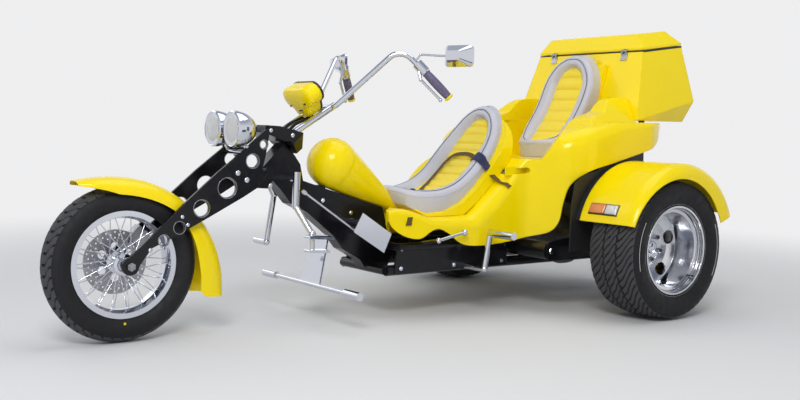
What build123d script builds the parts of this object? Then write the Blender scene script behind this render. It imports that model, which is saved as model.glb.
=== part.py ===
from build123d import *
import os
from math import cos, radians, sin

# A three-wheeled motorized trike: one steered front wheel in a raked plate fork, a teardrop tank,
# a one-piece body tub with a rider's and a passenger's seat, two wide rear wheels under round
# fenders, and a luggage box with a lid on top of the rear engine.
#
# Millimetres. +X is the vehicle's left, -Y its front, +Z up. The origin is on the ground, under
# the middle of the outer box. Side outlines are read as (distance behind the front axle, height).

# Wheels and stance
wheelbase = 2300.0
front_tyre_radius = 307.0
front_tyre_half_width = 65.0
front_bead_radius = 196.0
rear_tyre_radius = 323.0
rear_tyre_half_width = 138.5
rear_bead_radius = 190.5
rear_wheel_x = 727.5
bead_lip = 14.0
front_crown_half = 50.0
front_shoulder_drop = 21.0
rear_crown_half = 126.0
rear_shoulder_drop = 15.0
front_bead_half = 43.0
rear_bead_half = 112.0
running_clearance = 0.05
moving_gap = 5.0

# Luggage box corners, behind the front axle and above the ground
box_front_foot = (2482.0, 916.0)
box_front_seam = (2586.0, 1267.0)
box_rear_seam = (2883.0, 1309.0)
box_rear_low = (2932.0, 1027.0)
box_rear_foot = (2912.0, 916.0)
box_half_seam = 366.0
box_half_foot = 431.0
box_half_rear_foot = 370.0
box_wall = 6.0
lid_height = 80.0
lid_top_inset = 62.0

front_axle_y = (front_tyre_radius - box_rear_low[0]) / 2

# Steering axis
rake_deg = 45.0
steer_pivot = (676.0, 703.0)
stem_radius = 14.0
head_tube_radius = 30.0
head_tube_low = -76.0
head_tube_high = 74.0
yoke_gap = 6.0

# Fork plates
fork_plate_x = 94.0
fork_plate_thickness = 12.0
front_axle_radius = 10.0

# Frame
neck_half_width = 38.0
rail_x = 170.0
rail_z = 221.0
rail_radius = 24.0
rail_front = 1150.0
rail_rear = wheelbase + 490.0
upper_rail_x = 190.0
upper_rail_z = 325.0
upper_rail_radius = 18.0
side_plate_x = 198.0
side_plate_wall = 4.0
torsion_tube = (1900.0, 298.0)
torsion_radius = 42.0
torsion_half = 440.0
support_x = 330.0
box_post_x = 200.0
support_radius = 16.0
support_y = 2420.0
shock_bar_z = 688.0

# Body tub
tub_wall = 5.0
deck_z = 905.0
recess_half = 290.0
recess_floor = 720.0
recess_front = 1800.0
recess_rear = 2465.0

# Rear fenders and wheel houses
fender_centre = (wheelbase + 37.0, 347.0)
fender_radius = 374.0
fender_inner_x = 545.0
fender_outer_x = 878.0
fender_wall = 5.0
fender_corner = 60.0
fender_skirt = 52.0
fender_arch_centre = (wheelbase - 15.0, 345.0)
fender_arch_radius = 307.0
fender_front_angle = 164.4
fender_rear_angle = 21.0
house_x = 515.0
house_wall = 5.0
house_flange = 600.0

# Rear axle
axle_tube_radius = 32.0
axle_tube_end = 560.0
stub_radius = 20.0
stub_end = 700.0
drum_radius = 125.0

# Seats
# Each outline: half width, (middle of its round nose, nose length), (middle of its top, rise)
rider_pad = (198.0, (1491.0, 230.0), (696.0, 280.0))
rider_centre = (122.0, (1554.0, 150.0), (762.0, 196.0))
rider_shell = (226.0, (1500.0, 226.0), (736.0, 202.0))
passenger_pad = (178.0, (2336.0, 180.0), (1058.0, 200.0))
passenger_centre = (104.0, (2287.0, 110.0), (1083.0, 140.0))

# Tank
tank_tail = (1323.0, 478.0)
tank_slope = 31.2
tank_length = 522.0
tank_radius = 112.0
tank_pole = 10.0

# Handlebar
bar_radius = 12.7
bar_centre = (921.0, 937.0)
bar_straight_half = 80.0
bar_corner = (243.0, 1153.0, 1201.0)
grip_start = (300.0, 1224.0, 1116.0)
grip_end = (376.0, 1314.0, 996.0)
riser_x = 60.0
grip_radius = 17.0

# Lamps and pod
headlamp_x = 85.0
headlamp_centre = (435.0, 837.0)
headlamp_radius = 73.0


def box_front_at(z):
    """Where the box's front face stands at a height."""
    (foot_y, foot_z), (seam_y, seam_z) = box_front_foot, box_front_seam
    return foot_y + (z - foot_z) * (seam_y - foot_y) / (seam_z - foot_z)


def side(x):
    """Upright plane facing +X. A sketch on it reads (behind the front axle, height)."""
    return Plane(origin=(x, front_axle_y, 0), x_dir=(0, 1, 0), z_dir=(1, 0, 0))


def across(y):
    """Upright plane across the vehicle, y behind the front axle. A sketch reads (x, height)."""
    return Plane(origin=(0, front_axle_y + y, 0), x_dir=(1, 0, 0), z_dir=(0, -1, 0))


def level(z):
    """Level plane at a height. A sketch reads (x, behind the front axle)."""
    return Plane(origin=(0, front_axle_y, z), x_dir=(1, 0, 0), z_dir=(0, 0, 1))


def at(x, y, z):
    """A point from its distance behind the front axle."""
    return Vector(x, front_axle_y + y, z)


def steer(along, ahead):
    """A side point from its place along the steering axis and ahead of it."""
    s, c = sin(radians(rake_deg)), cos(radians(rake_deg))
    return (steer_pivot[0] + along * s - ahead * c, steer_pivot[1] + along * c + ahead * s)


def rod(start, end, radius):
    """A round bar between two points, as a loose solid."""
    axis = end - start
    return Solid.make_cylinder(radius, axis.length, Plane(origin=start, z_dir=axis))


def both(solid):
    """A solid and its mirror image on the other side of the vehicle."""
    return [solid, solid.mirror(Plane.YZ)]


def outline(points):
    """A closed face from a short list of corners, inside a sketch."""
    Polygon(*points, align=None)


def oval(half, nose, crest):
    """A seat's outline: round in front seen from above, and round on top seen from ahead."""
    nose_y, nose_length = nose
    crest_z, crest_rise = crest
    with BuildPart() as shape:
        with BuildSketch(level(0)):
            with Locations((0, nose_y)):
                Ellipse(half, nose_length)
            with Locations((0, nose_y + 500)):
                Rectangle(2 * half, 1000)
        extrude(amount=1500)
        with BuildSketch(across(0)):
            with Locations((0, crest_z)):
                Ellipse(half, crest_rise)
            with Locations((0, crest_z - 250)):
                Rectangle(2 * half, 500)
        extrude(amount=-3500, mode=Mode.INTERSECT)
    return shape.part


def slab(points, half):
    """A side outline given a width, centred on the vehicle's middle plane."""
    with BuildPart() as shape:
        with BuildSketch(side(0)):
            outline(points)
        extrude(amount=half, both=True)
    return shape.part


def tyre(centre_x, centre_y, radius, half_width, bead_radius, bead_half, crown_half, drop):
    """A tyre from its centre, its section's sizes and the shoulder's drop below the crown."""
    shoulder = radius - drop
    bulge = bead_radius + 0.52 * (radius - bead_radius)
    with BuildPart() as shape:
        with BuildSketch(Plane(origin=(centre_x, front_axle_y + centre_y, radius),
                               x_dir=(1, 0, 0), z_dir=(0, -1, 0))):
            with BuildLine():
                Line((-bead_half, bead_radius), (bead_half, bead_radius))
                Line((bead_half, bead_radius), (bead_half, bead_radius + bead_lip))
                ThreePointArc((bead_half, bead_radius + bead_lip), (half_width, bulge),
                              (crown_half, shoulder))
                ThreePointArc((crown_half, shoulder), (0, radius), (-crown_half, shoulder))
                ThreePointArc((-crown_half, shoulder), (-half_width, bulge),
                              (-bead_half, bead_radius + bead_lip))
                Line((-bead_half, bead_radius + bead_lip), (-bead_half, bead_radius))
            make_face()
        revolve(axis=Axis((centre_x, front_axle_y + centre_y, radius), (1, 0, 0)))
    return shape.part


# Front tyre: a road tyre's section turned about the axle
front_tyre = tyre(0, 0, front_tyre_radius, front_tyre_half_width, front_bead_radius,
                  front_bead_half, front_crown_half, front_shoulder_drop)

# Front wheel: rim, hub and crossed wire spokes, joined
rim_flange = 5.0
hub_radius = 30.0
hub_flange_radius = 42.0
hub_half = 60.0
spoke_radius = 2.0
spoke_count = 18
spoke_lean = 38.0
rim_well = 17.0
front_centre = Vector(0, front_axle_y, front_tyre_radius)


def spoke(index, hub_x, lean):
    """One wire spoke from a hub flange to the rim, leaning round by an angle."""
    foot = radians(360 / spoke_count * index)
    head = foot + radians(lean)
    start = Vector(hub_x, (hub_flange_radius - 5) * cos(foot), (hub_flange_radius - 5) * sin(foot))
    reach = front_bead_radius - rim_well + 6
    end = Vector(hub_x * 0.2, reach * cos(head), reach * sin(head))
    return rod(front_centre + start, front_centre + end, spoke_radius)


with BuildPart() as front_rim:
    with BuildSketch(Plane(origin=front_centre, x_dir=(1, 0, 0), z_dir=(0, -1, 0))):
        outline([(-front_bead_half, front_bead_radius), (front_bead_half, front_bead_radius),
                 (front_bead_half, front_bead_radius + bead_lip),
                 (front_bead_half + rim_flange, front_bead_radius + bead_lip),
                 (front_bead_half + rim_flange, front_bead_radius - 7),
                 (18, front_bead_radius - rim_well), (-18, front_bead_radius - rim_well),
                 (-front_bead_half - rim_flange, front_bead_radius - 7),
                 (-front_bead_half - rim_flange, front_bead_radius + bead_lip),
                 (-front_bead_half, front_bead_radius + bead_lip)])
        outline([(-hub_half, 12), (hub_half, 12), (hub_half, 24), (44, hub_radius),
                 (40, hub_flange_radius), (34, hub_flange_radius), (30, hub_radius),
                 (-30, hub_radius), (-34, hub_flange_radius), (-40, hub_flange_radius),
                 (-44, hub_radius), (-hub_half, hub_radius)])
    revolve(axis=Axis(front_centre, (1, 0, 0)))
    add([spoke(i, flange, lean) for i in range(spoke_count)
         for flange, lean in ((37, spoke_lean), (-37, -spoke_lean))])
    with BuildSketch(Plane(origin=front_centre, z_dir=(1, 0, 0))):
        Circle(front_axle_radius + running_clearance)
    extrude(amount=hub_half + 5, both=True, mode=Mode.SUBTRACT)

# Brake disc on the hub's right end
disc_radius = 128.0
disc_x = -57.0
disc_thickness = 5.0
with BuildPart() as front_brake_disc:
    with BuildSketch(Plane(origin=front_centre + Vector(disc_x, 0, 0), z_dir=(-1, 0, 0))):
        Circle(disc_radius)
        Circle(hub_radius, mode=Mode.SUBTRACT)
        with PolarLocations(62, 6):
            Circle(17, mode=Mode.SUBTRACT)
        for ring_radius, shift in ((95, 0), (108, 9), (118, 0)):
            with PolarLocations(ring_radius, 20, start_angle=shift):
                Circle(4, mode=Mode.SUBTRACT)
    extrude(amount=disc_thickness)

# Front axle, with its spacers outside the hub
with BuildPart() as front_axle:
    with BuildSketch(Plane(origin=front_centre, z_dir=(1, 0, 0))):
        Circle(front_axle_radius)
    extrude(amount=fork_plate_x + fork_plate_thickness + 16, both=True)
    for sign in (1, -1):
        face = Plane(origin=front_centre + Vector(sign * (hub_half + 2), 0, 0),
                     z_dir=(sign, 0, 0))
        with BuildSketch(face):
            Circle(15)
        extrude(amount=fork_plate_x - hub_half - 2)
        nut = Plane(origin=front_centre + Vector(sign * (fork_plate_x + fork_plate_thickness), 0, 0),
                    z_dir=(sign, 0, 0))
        with BuildSketch(nut):
            RegularPolygon(17, 6)
        extrude(amount=11)

# Fork plates, pierced with round holes that grow towards the middle
fork_corners = [(-24, 325), (99, 435), (223, 547), (360, 663), (469, 746), (557, 822),
                (599, 854), (576, 725), (540, 598), (477, 562), (315, 480), (184, 416),
                (84, 373), (14, 279), (-18, 283)]
fork_holes = [(133, 401, 21), (198, 448, 23), (292, 521, 33), (404, 600, 40), (517, 708, 28),
              (568, 776, 17)]
with BuildPart() as fork_plates:
    with BuildSketch(side(fork_plate_x)):
        outline(fork_corners)
        with Locations((0, front_tyre_radius)):
            Circle(34)
        for y, z, r in fork_holes:
            with Locations((y, z)):
                Circle(r, mode=Mode.SUBTRACT)
        with Locations((0, front_tyre_radius)):
            Circle(front_axle_radius, mode=Mode.SUBTRACT)
    extrude(amount=fork_plate_thickness)
    mirror(about=Plane.YZ)

# Yokes and the steering stem between the fork plates
steer_dir = Vector(0, sin(radians(rake_deg)), cos(radians(rake_deg)))
yoke_top = head_tube_high + yoke_gap
yoke_low = head_tube_low - yoke_gap
with BuildPart() as steering_yokes:
    with BuildSketch(side(-fork_plate_x)):
        outline([(575, 825), (583, 856), (649, 853), (762, 827), (785, 759), steer(yoke_top, -32),
                 steer(yoke_top, 45), steer(62, 60)])
        outline([(546, 596), (554, 638), steer(yoke_low, 45), steer(yoke_low, -32),
                 steer(yoke_low - 26, -32), (626, 589)])
    extrude(amount=2 * fork_plate_x)
    with BuildSketch(Plane(origin=at(0, *steer(-200, 0)), x_dir=(1, 0, 0), z_dir=steer_dir)):
        outline([(-fork_plate_x, -400), (fork_plate_x, -400), (fork_plate_x, -25), (48, 40),
                 (-48, 40), (-fork_plate_x, -25)])
    extrude(amount=500, mode=Mode.INTERSECT)
    stem_foot = at(0, *steer(yoke_low - 20, 0))
    stem_head = at(0, *steer(yoke_top + 52, 0))
    add(rod(stem_foot, stem_head, stem_radius))

# Handlebar on two risers
with BuildPart() as handlebar:
    with BuildLine() as bar_line:
        FilletPolyline(at(-grip_end[0], *grip_end[1:]), at(-bar_corner[0], *bar_corner[1:]),
                       at(-bar_straight_half, *bar_centre), at(bar_straight_half, *bar_centre),
                       at(*bar_corner), at(*grip_end), radius=[70, 45, 45, 70])
    with BuildSketch(Plane(origin=bar_line.line @ 0, z_dir=bar_line.line % 0)):
        Circle(bar_radius)
    sweep(path=bar_line.line)
riser_foot = at(riser_x, 742, 829)
riser_head = at(riser_x, bar_centre[0], bar_centre[1])
with BuildPart() as risers:
    add(both(rod(riser_foot, riser_head + (riser_head - riser_foot).normalized() * 20, 15)))
    add(handlebar.part, mode=Mode.SUBTRACT)
    add(steering_yokes.part, mode=Mode.SUBTRACT)

# Grips, with a switch cluster and a lever inboard of each
grip_a = at(*grip_start)
grip_b = at(*grip_end)
grip_dir = (grip_b - grip_a).normalized()
with BuildPart() as hand_grips:
    add(both(rod(grip_a + grip_dir * 30, grip_b + grip_dir * 6, grip_radius)))
    add(handlebar.part, mode=Mode.SUBTRACT)
with BuildPart() as bar_controls:
    add(both(rod(grip_a - grip_dir * 26, grip_a + grip_dir * 27, 24)))
    lever_out = Vector(0, -0.763, -0.646)
    lever_foot = grip_a + lever_out * 18
    lever_knee = grip_a + grip_dir * 34 + lever_out * 42
    lever_end = grip_b - grip_dir * 12 + lever_out * 40
    add(both(rod(lever_foot, lever_knee, 7)))
    add(both(rod(lever_knee, lever_end, 6)))
    add(both(Solid.make_sphere(8, Plane(origin=lever_knee))))
    add(both(Solid.make_sphere(9, Plane(origin=lever_end))))
    add(handlebar.part, mode=Mode.SUBTRACT)
    add(hand_grips.part, mode=Mode.SUBTRACT)

# Mirrors on thin stems, turned a little inwards
mirror_centre = (450.0, 1308.0, 1165.0)
mirror_size = (136.0, 92.0)
mirror_back_size = (66.0, 40.0)
mirror_depth = 56.0
mirror_rim = 12.0
mirror_turn = -0.4
mirror_stem_radius = 5.0
stem_foot = at(292, 1201, 1146)
stem_bend = at(304, 1217, 1172)
with BuildPart() as mirror_left:
    mirror_plane = Plane(origin=at(*mirror_centre), x_dir=(1, -mirror_turn, 0), z_dir=(mirror_turn, 1, 0))
    with BuildSketch(mirror_plane):
        RectangleRounded(*mirror_size, 20)
    extrude(amount=mirror_rim)
    with BuildSketch(mirror_plane.offset(-mirror_depth)):
        RectangleRounded(*mirror_back_size, 9)
    with BuildSketch(mirror_plane):
        RectangleRounded(*mirror_size, 20)
    loft(ruled=True)
    add(rod(stem_foot, stem_bend, mirror_stem_radius))
    add(rod(stem_bend, mirror_plane.from_local_coords((-44, 0, -12)), mirror_stem_radius))
    add(Solid.make_sphere(mirror_stem_radius + 2, Plane(origin=stem_bend)))
    add(handlebar.part, mode=Mode.SUBTRACT)
    add(bar_controls.part, mode=Mode.SUBTRACT)


def mirrored(piece):
    """The same piece on the right-hand side."""
    return piece.mirror(Plane.YZ)


def group(*halves):
    """Left pieces and their mirror images, as the separate solids of one node."""
    return Compound(children=[solid for half in halves for piece in (half, mirrored(half))
                              for solid in piece.solids()])


# Instrument pod: one large and two small round gauges in one housing, facing the rider
pod_dir = Vector(0, 0.86, 0.5)
pod_front = at(0, 778, 949)
with BuildPart() as instrument_pod:
    with BuildSketch(Plane(origin=pod_front, x_dir=(1, 0, 0), z_dir=pod_dir)):
        with Locations((0, -18)):
            Circle(64)
        with Locations((-66, 18), (66, 18)):
            Circle(44)
        with Locations((0, 18)):
            Rectangle(132, 88)
    extrude(amount=88)
    add(rod(at(0, 697, 844), pod_front + pod_dir * 30 + Vector(0, 0, 10), 9))
    add(steering_yokes.part, mode=Mode.SUBTRACT)

# Headlamps: round buckets with domed lenses, on a bar across the fork plates
lamp_depth = 105.0
lamp_rim = 22.0
lens_radius = 66.0
lens_dome = 15.0
lamp_pole = 8.0


def lamp_point(back, out):
    """A side point of a headlamp, back from its front edge and out from its middle."""
    return (headlamp_centre[0] + back, headlamp_centre[1] + out)


with BuildPart() as headlamps:
    with BuildSketch(side(headlamp_x)):
        with BuildLine():
            Polyline(lamp_point(lamp_depth, lamp_pole), lamp_point(lamp_depth, 0), lamp_point(0, 0),
                     lamp_point(0, headlamp_radius), lamp_point(lamp_rim, headlamp_radius))
            ThreePointArc(lamp_point(lamp_rim, headlamp_radius), lamp_point(80, 48),
                          lamp_point(lamp_depth, lamp_pole))
        make_face()
    revolve(axis=Axis(at(headlamp_x, *headlamp_centre), (0, 1, 0)))
    mirror(about=Plane.YZ)
with BuildPart() as headlamp_lenses:
    with BuildSketch(side(headlamp_x)):
        with BuildLine():
            Polyline(lamp_point(-lens_dome, lamp_pole), lamp_point(-lens_dome, 0), lamp_point(0, 0),
                     lamp_point(0, lens_radius))
            ThreePointArc(lamp_point(0, lens_radius), lamp_point(-11, 38),
                          lamp_point(-lens_dome, lamp_pole))
        make_face()
    revolve(axis=Axis(at(headlamp_x, *headlamp_centre), (0, 1, 0)))
    mirror(about=Plane.YZ)
with BuildPart() as headlamp_bracket:
    cross_bar = (503.0, 742.0)
    add(rod(at(-fork_plate_x, *cross_bar), at(fork_plate_x, *cross_bar), 11))
    add(both(rod(at(headlamp_x, *cross_bar), at(headlamp_x, headlamp_centre[0] + 40,
                                                headlamp_centre[1] - 18), 9)))
    add(headlamps.part)

# Front fender: a crowned blade of two tangent arcs
front_fender_half = 82.0
front_fender_drop = 26.0
front_fender_wall = 3.0
with BuildPart() as front_fender:
    with BuildLine(side(0)) as fender_line:
        first = JernArc((-185, 634), (cos(radians(12.3)), sin(radians(12.3))), 600, -23)
        JernArc(first @ 1, first % 1, 455, -84)
    with BuildSketch(Plane(origin=fender_line.line @ 0, x_dir=(-1, 0, 0), z_dir=fender_line.line % 0)):
        with BuildLine():
            low = -front_fender_drop
            ThreePointArc((-front_fender_half, low), (0, 0), (front_fender_half, low))
            Line((front_fender_half, low), (front_fender_half, low - front_fender_wall))
            ThreePointArc((front_fender_half, low - front_fender_wall), (0, -front_fender_wall),
                          (-front_fender_half, low - front_fender_wall))
            Line((-front_fender_half, low - front_fender_wall), (-front_fender_half, low))
        make_face()
    sweep(path=fender_line.line)
    for tab_y, tab_z in ((229, 532), (237, 525), (245, 518)):
        with BuildSketch(side(front_fender_half - 3)):
            with Locations((tab_y, tab_z)):
                Circle(11)
        extrude(amount=fork_plate_x - front_fender_half + 3)
        with BuildSketch(side(-fork_plate_x)):
            with Locations((tab_y, tab_z)):
                Circle(11)
        extrude(amount=fork_plate_x - front_fender_half + 3)

# Brake caliper on the right fork plate
caliper_inner_x = 44.0
caliper_place = (95.0, 404.0)
with BuildPart() as brake_caliper:
    with BuildSketch(side(-fork_plate_x)):
        with Locations(caliper_place):
            Rectangle(66, 62, rotation=45)
    extrude(amount=fork_plate_x - caliper_inner_x)
    with BuildSketch(side(disc_x - disc_thickness - moving_gap)):
        with Locations((0, front_tyre_radius)):
            Circle(disc_radius + moving_gap)
    extrude(amount=disc_thickness + 2 * moving_gap, mode=Mode.SUBTRACT)

# Frame
frame_corners = [steer(head_tube_high, 36), steer(head_tube_low, 36), steer(head_tube_low, -92),
                 (741, 521), (822, 481), (960, 371), (1008, 311), (1103, 258),
                 (1137, 209), (1241, 198), (1300, 294), (1250, 374), (1239, 434),
                 (1221, 492), (1115, 523), (911, 584), (798, 620), (783, 691),
                 steer(head_tube_high, -36)]

# Fuel tank: a teardrop turned about its own sloping axis
tank_dir = (-cos(radians(tank_slope)), sin(radians(tank_slope)))
tank_out = (sin(radians(tank_slope)), cos(radians(tank_slope)))


def tank_point(along, out):
    return (tank_tail[0] + along * tank_dir[0] + out * tank_out[0],
            tank_tail[1] + along * tank_dir[1] + out * tank_out[1])


with BuildPart() as fuel_tank:
    with BuildSketch(side(0)):
        with BuildLine():
            Line(tank_point(-tank_pole, 0), tank_point(tank_length, 0))
            Line(tank_point(tank_length, 0), tank_point(tank_length, tank_pole))
            ThreePointArc(tank_point(tank_length, tank_pole), tank_point(tank_length - 15, 62),
                          tank_point(tank_length - 50, 98))
            ThreePointArc(tank_point(tank_length - 50, 98), tank_point(tank_length - 98, tank_radius),
                          tank_point(tank_length - 152, 105))
            ThreePointArc(tank_point(tank_length - 152, 105), tank_point(190, 69), tank_point(6, 22))
            ThreePointArc(tank_point(6, 22), tank_point(-6, 17), tank_point(-tank_pole, tank_pole))
            Line(tank_point(-tank_pole, tank_pole), tank_point(-tank_pole, 0))
        make_face()
    revolve(axis=Axis(at(0, *tank_tail), Vector(0, tank_dir[0], tank_dir[1])))

with BuildPart() as frame:
    add(slab(frame_corners, neck_half_width))
    add(rod(at(0, *steer(head_tube_low, 0)), at(0, *steer(head_tube_high, 0)), head_tube_radius))
    for y, z in ((899, 552), (1049, 493)):
        with BuildSketch(side(0)):
            with Locations((y, z)):
                Rectangle(46, 90)
        extrude(amount=22, both=True)
    add(fuel_tank.part, mode=Mode.SUBTRACT)
    add(both(rod(at(rail_x, rail_front, rail_z), at(rail_x, rail_rear, rail_z), rail_radius)))
    add(both(rod(at(upper_rail_x, 1200, upper_rail_z), at(upper_rail_x, torsion_tube[0], upper_rail_z),
                 upper_rail_radius)))
    add(rod(at(-torsion_half, *torsion_tube), at(torsion_half, *torsion_tube), torsion_radius))
    for y in (rail_front, 1550, 1880):
        add(rod(at(-rail_x, y, rail_z), at(rail_x, y, rail_z), 20))
    for y in (1210, 1550, 1840):
        add(both(rod(at(rail_x, y, rail_z), at(upper_rail_x, y, upper_rail_z), 14)))
    add(rod(at(-upper_rail_x, 1210, upper_rail_z), at(upper_rail_x, 1210, upper_rail_z), 16))
    add(rod(at(-box_post_x, rail_rear, rail_z), at(box_post_x, rail_rear, rail_z), 18))
    add(both(rod(at(rail_x, support_y, rail_z), at(support_x, support_y, rail_z), 18)))
    add(both(rod(at(support_x, support_y, rail_z), at(support_x, support_y, deck_z - tub_wall),
                 support_radius)))
    add(both(rod(at(box_post_x, rail_rear, rail_z), at(box_post_x, rail_rear, box_front_foot[1]),
                 support_radius)))
    add(rod(at(-house_x, support_y, shock_bar_z), at(house_x, support_y, shock_bar_z), 18))
    for plate_side in (side_plate_x - side_plate_wall, -side_plate_x):
        with BuildSketch(side(plate_side)):
            outline([(1181, 206), (1195, 339), (1850, 342), (1851, 209)])
        extrude(amount=side_plate_wall)
    add(rod(at(0, *steer(head_tube_low - 1, 0)), at(0, *steer(head_tube_high + 1, 0)),
            stem_radius + running_clearance), mode=Mode.SUBTRACT)

# Body tub: rounded cross sections joined by straight stretches, cut below by its side outline and
# in front by a notch for the tank's tail. It is open underneath.
# Each section: behind the front axle, half width, height of its top, radius of its top corners
tub_sections = [(1122, 226, 493, 18), (1189, 236, 499, 25), (1362, 268, 457, 40),
                (1549, 288, 461, 60), (1634, 296, 521, 72), (1748, 304, 627, 78),
                (1850, 312, 735, 24), (1925, 404, 800, 60), (2000, 482, 848, 75),
                (2117, 526, 885, 74), (2308, 530, deck_z, 45), (2467, 530, deck_z, 25),
                (2567, 492, deck_z, 15), (2652, 436, deck_z, 10)]
tub_bottom = [(2652, 852), (2587, 814), (2522, 789), (2451, 767), (2235, 713), (2065, 669),
              (1986, 610), (1961, 523), (1949, 432), (1925, 383), (1850, 352), (1711, 330),
              (1558, 324), (1492, 337), (1421, 386), (1368, 408), (1335, 399), (1280, 366),
              (1200, 380), (1135, 426), (1120, 463)]
# Half of the notch seen from above: (x, behind the front axle)
tub_notch = [(264, 1175), (246, 1130), (225, 1118), (196, 1127), (150, 1177), (60, 1244), (0, 1289)]
tub_base = 150.0
tub_over = 1200.0
haunch_floor = (300.0, 1958.0, 721.0)
haunch_rise = (300.0, 2147.0, 908.0)
haunch_side = (430.0, 1947.0, 828.0)


def haunch_cut(inset):
    """What is cut from above the footwell in front of the haunch, as a loose solid on the left."""
    low, high, outer = at(*haunch_floor), at(*haunch_rise), at(*haunch_side)
    up = (outer - low).cross(high - low).normalized()
    with BuildPart() as wedge:
        with BuildSketch(level(recess_floor - inset)):
            outline([(-1, 1760), (haunch_side[0], 1760), (haunch_side[0], 2190), (-1, 2190)])
        extrude(amount=300)
        split(bisect_by=Plane(origin=low, z_dir=up).offset(-inset), keep=Keep.TOP)
    return wedge.part


def tub_form(inset):
    """The tub's outer form, or its inside when every wall is drawn in."""
    first, last = tub_sections[0][0], tub_sections[-1][0]
    with BuildPart() as form:
        for pair in zip(tub_sections, tub_sections[1:]):
            for y, half, top, corner in pair:
                end_inset = inset * ((y == first) - (y == last))
                w, t, r = half - inset, top - inset, corner - inset
                bend = r * (1 - cos(radians(45)))
                with BuildSketch(across(y + end_inset)):
                    with BuildLine():
                        Polyline((-w, t - r), (-w, tub_base), (w, tub_base), (w, t - r))
                        ThreePointArc((w, t - r), (w - bend, t - bend), (w - r, t))
                        Line((w - r, t), (r - w, t))
                        ThreePointArc((r - w, t), (bend - w, t - bend), (-w, t - r))
                    make_face()
            loft(ruled=True)
        with BuildSketch(level(tub_base)):
            outline(tub_notch + [(-x, y) for x, y in reversed(tub_notch[:-1])] + [(-264, 900), (264, 900)])
            if inset > 0:
                offset(amount=inset, kind=Kind.INTERSECTION)
        extrude(amount=tub_over, mode=Mode.SUBTRACT)
        cut = haunch_cut(inset)
        add(both(cut), mode=Mode.SUBTRACT)
    return form.part


def recess(inset):
    """The passenger's well in the top of the tub."""
    with BuildPart() as well:
        with BuildSketch(level(recess_floor - inset)):
            with Locations((0, (recess_front + recess_rear) / 2)):
                RectangleRounded(2 * (recess_half + inset), recess_rear - recess_front + 2 * inset,
                                 60 + inset)
        extrude(amount=400)
    return well.part


# The raised side of the passenger's well: its side outline, with a slanting outer face
ear_height = 1028.0
ear_top_x = 335.0
ear_foot_x = 432.0
ear_gap = 1.5
ear_corners = [(2117, 872), (2177, 918), (2224, 932), (2290, 958), (2335, 1006), (2381, 1018),
               (2439, 1029), (box_front_at(1029) - ear_gap, 1029),
               (box_front_at(deck_z - 2) - ear_gap, deck_z - 2), (2308, deck_z - 4)]
tub_outer = tub_form(0)
with BuildPart() as ear_left:
    with BuildSketch(side(recess_half)):
        outline(ear_corners)
    extrude(amount=ear_foot_x - recess_half)
    slant = Plane(origin=Vector(ear_top_x, 0, ear_height),
                  z_dir=Vector(ear_height - deck_z, 0, ear_foot_x - ear_top_x))
    split(bisect_by=slant, keep=Keep.BOTTOM)
with BuildPart() as well_skin:
    add(recess(tub_wall))
    add(tub_outer, mode=Mode.INTERSECT)
vent_place = (1808.0, 664.0)
with BuildPart() as body_tub:
    add(tub_outer)
    with BuildSketch(side(0)):
        outline(tub_bottom + [(1000, 470), (1000, 100), (2700, 100), (2700, 850)])
    extrude(amount=600, both=True, mode=Mode.SUBTRACT)
    add(tub_form(tub_wall), mode=Mode.SUBTRACT)
    add(well_skin.part)
    add(recess(0), mode=Mode.SUBTRACT)
    add(fuel_tank.part, mode=Mode.SUBTRACT)
    add(both(ear_left.part))
    with BuildSketch(side(-600)):
        with Locations(vent_place):
            SlotOverall(110, 26, rotation=4)
    extrude(amount=1200, mode=Mode.SUBTRACT)

# Wheel houses: flat black panels inside the rear wheels, with a flange under each fender
axle_hole = 75.0
# Corners: (behind the rear axle, height)
house_corners = [(wheelbase + back, z) for back, z in (
    (-355, 300), (-355, 420), (-350, 520), (-332, 618), (-270, 654), (-215, 668),
    (-182, 676), (-182, 790), (136, 798), (138, 706), (240, 660), (340, 570),
    (390, 470), (390, 400), (300, 300))]
with BuildPart() as house_left:
    with BuildSketch(side(house_x)):
        outline(house_corners)
        with Locations((wheelbase, rear_tyre_radius)):
            Circle(axle_hole, mode=Mode.SUBTRACT)
    extrude(amount=house_wall)
    with BuildSketch(side(house_x)):
        with Locations(fender_centre):
            Circle(fender_radius - fender_wall)
            Circle(fender_radius - fender_wall - 4, mode=Mode.SUBTRACT)
        with BuildLine():
            reach = 900
            Polyline(fender_centre,
                     (fender_centre[0] + reach * cos(radians(fender_front_angle)),
                      fender_centre[1] + reach * sin(radians(fender_front_angle))),
                     (fender_centre[0], fender_centre[1] + 2 * reach),
                     (fender_centre[0] + reach * cos(radians(fender_rear_angle)),
                      fender_centre[1] + reach * sin(radians(fender_rear_angle))), close=True)
        make_face(mode=Mode.INTERSECT)
    extrude(amount=house_flange - house_x)

# Rear fenders: a flat crown, a rounded outer corner and a skirt, turned about the fender's centre


def fender_section(grow):
    """The skin's corners in (x, radius), drawn in by grow."""
    r = fender_radius - grow
    x = fender_outer_x - grow
    corner = fender_corner - grow
    bend = corner * (1 - cos(radians(45)))
    return (fender_inner_x, r), (x - corner, r), (x - bend, r - bend), (x, r - corner)


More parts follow.
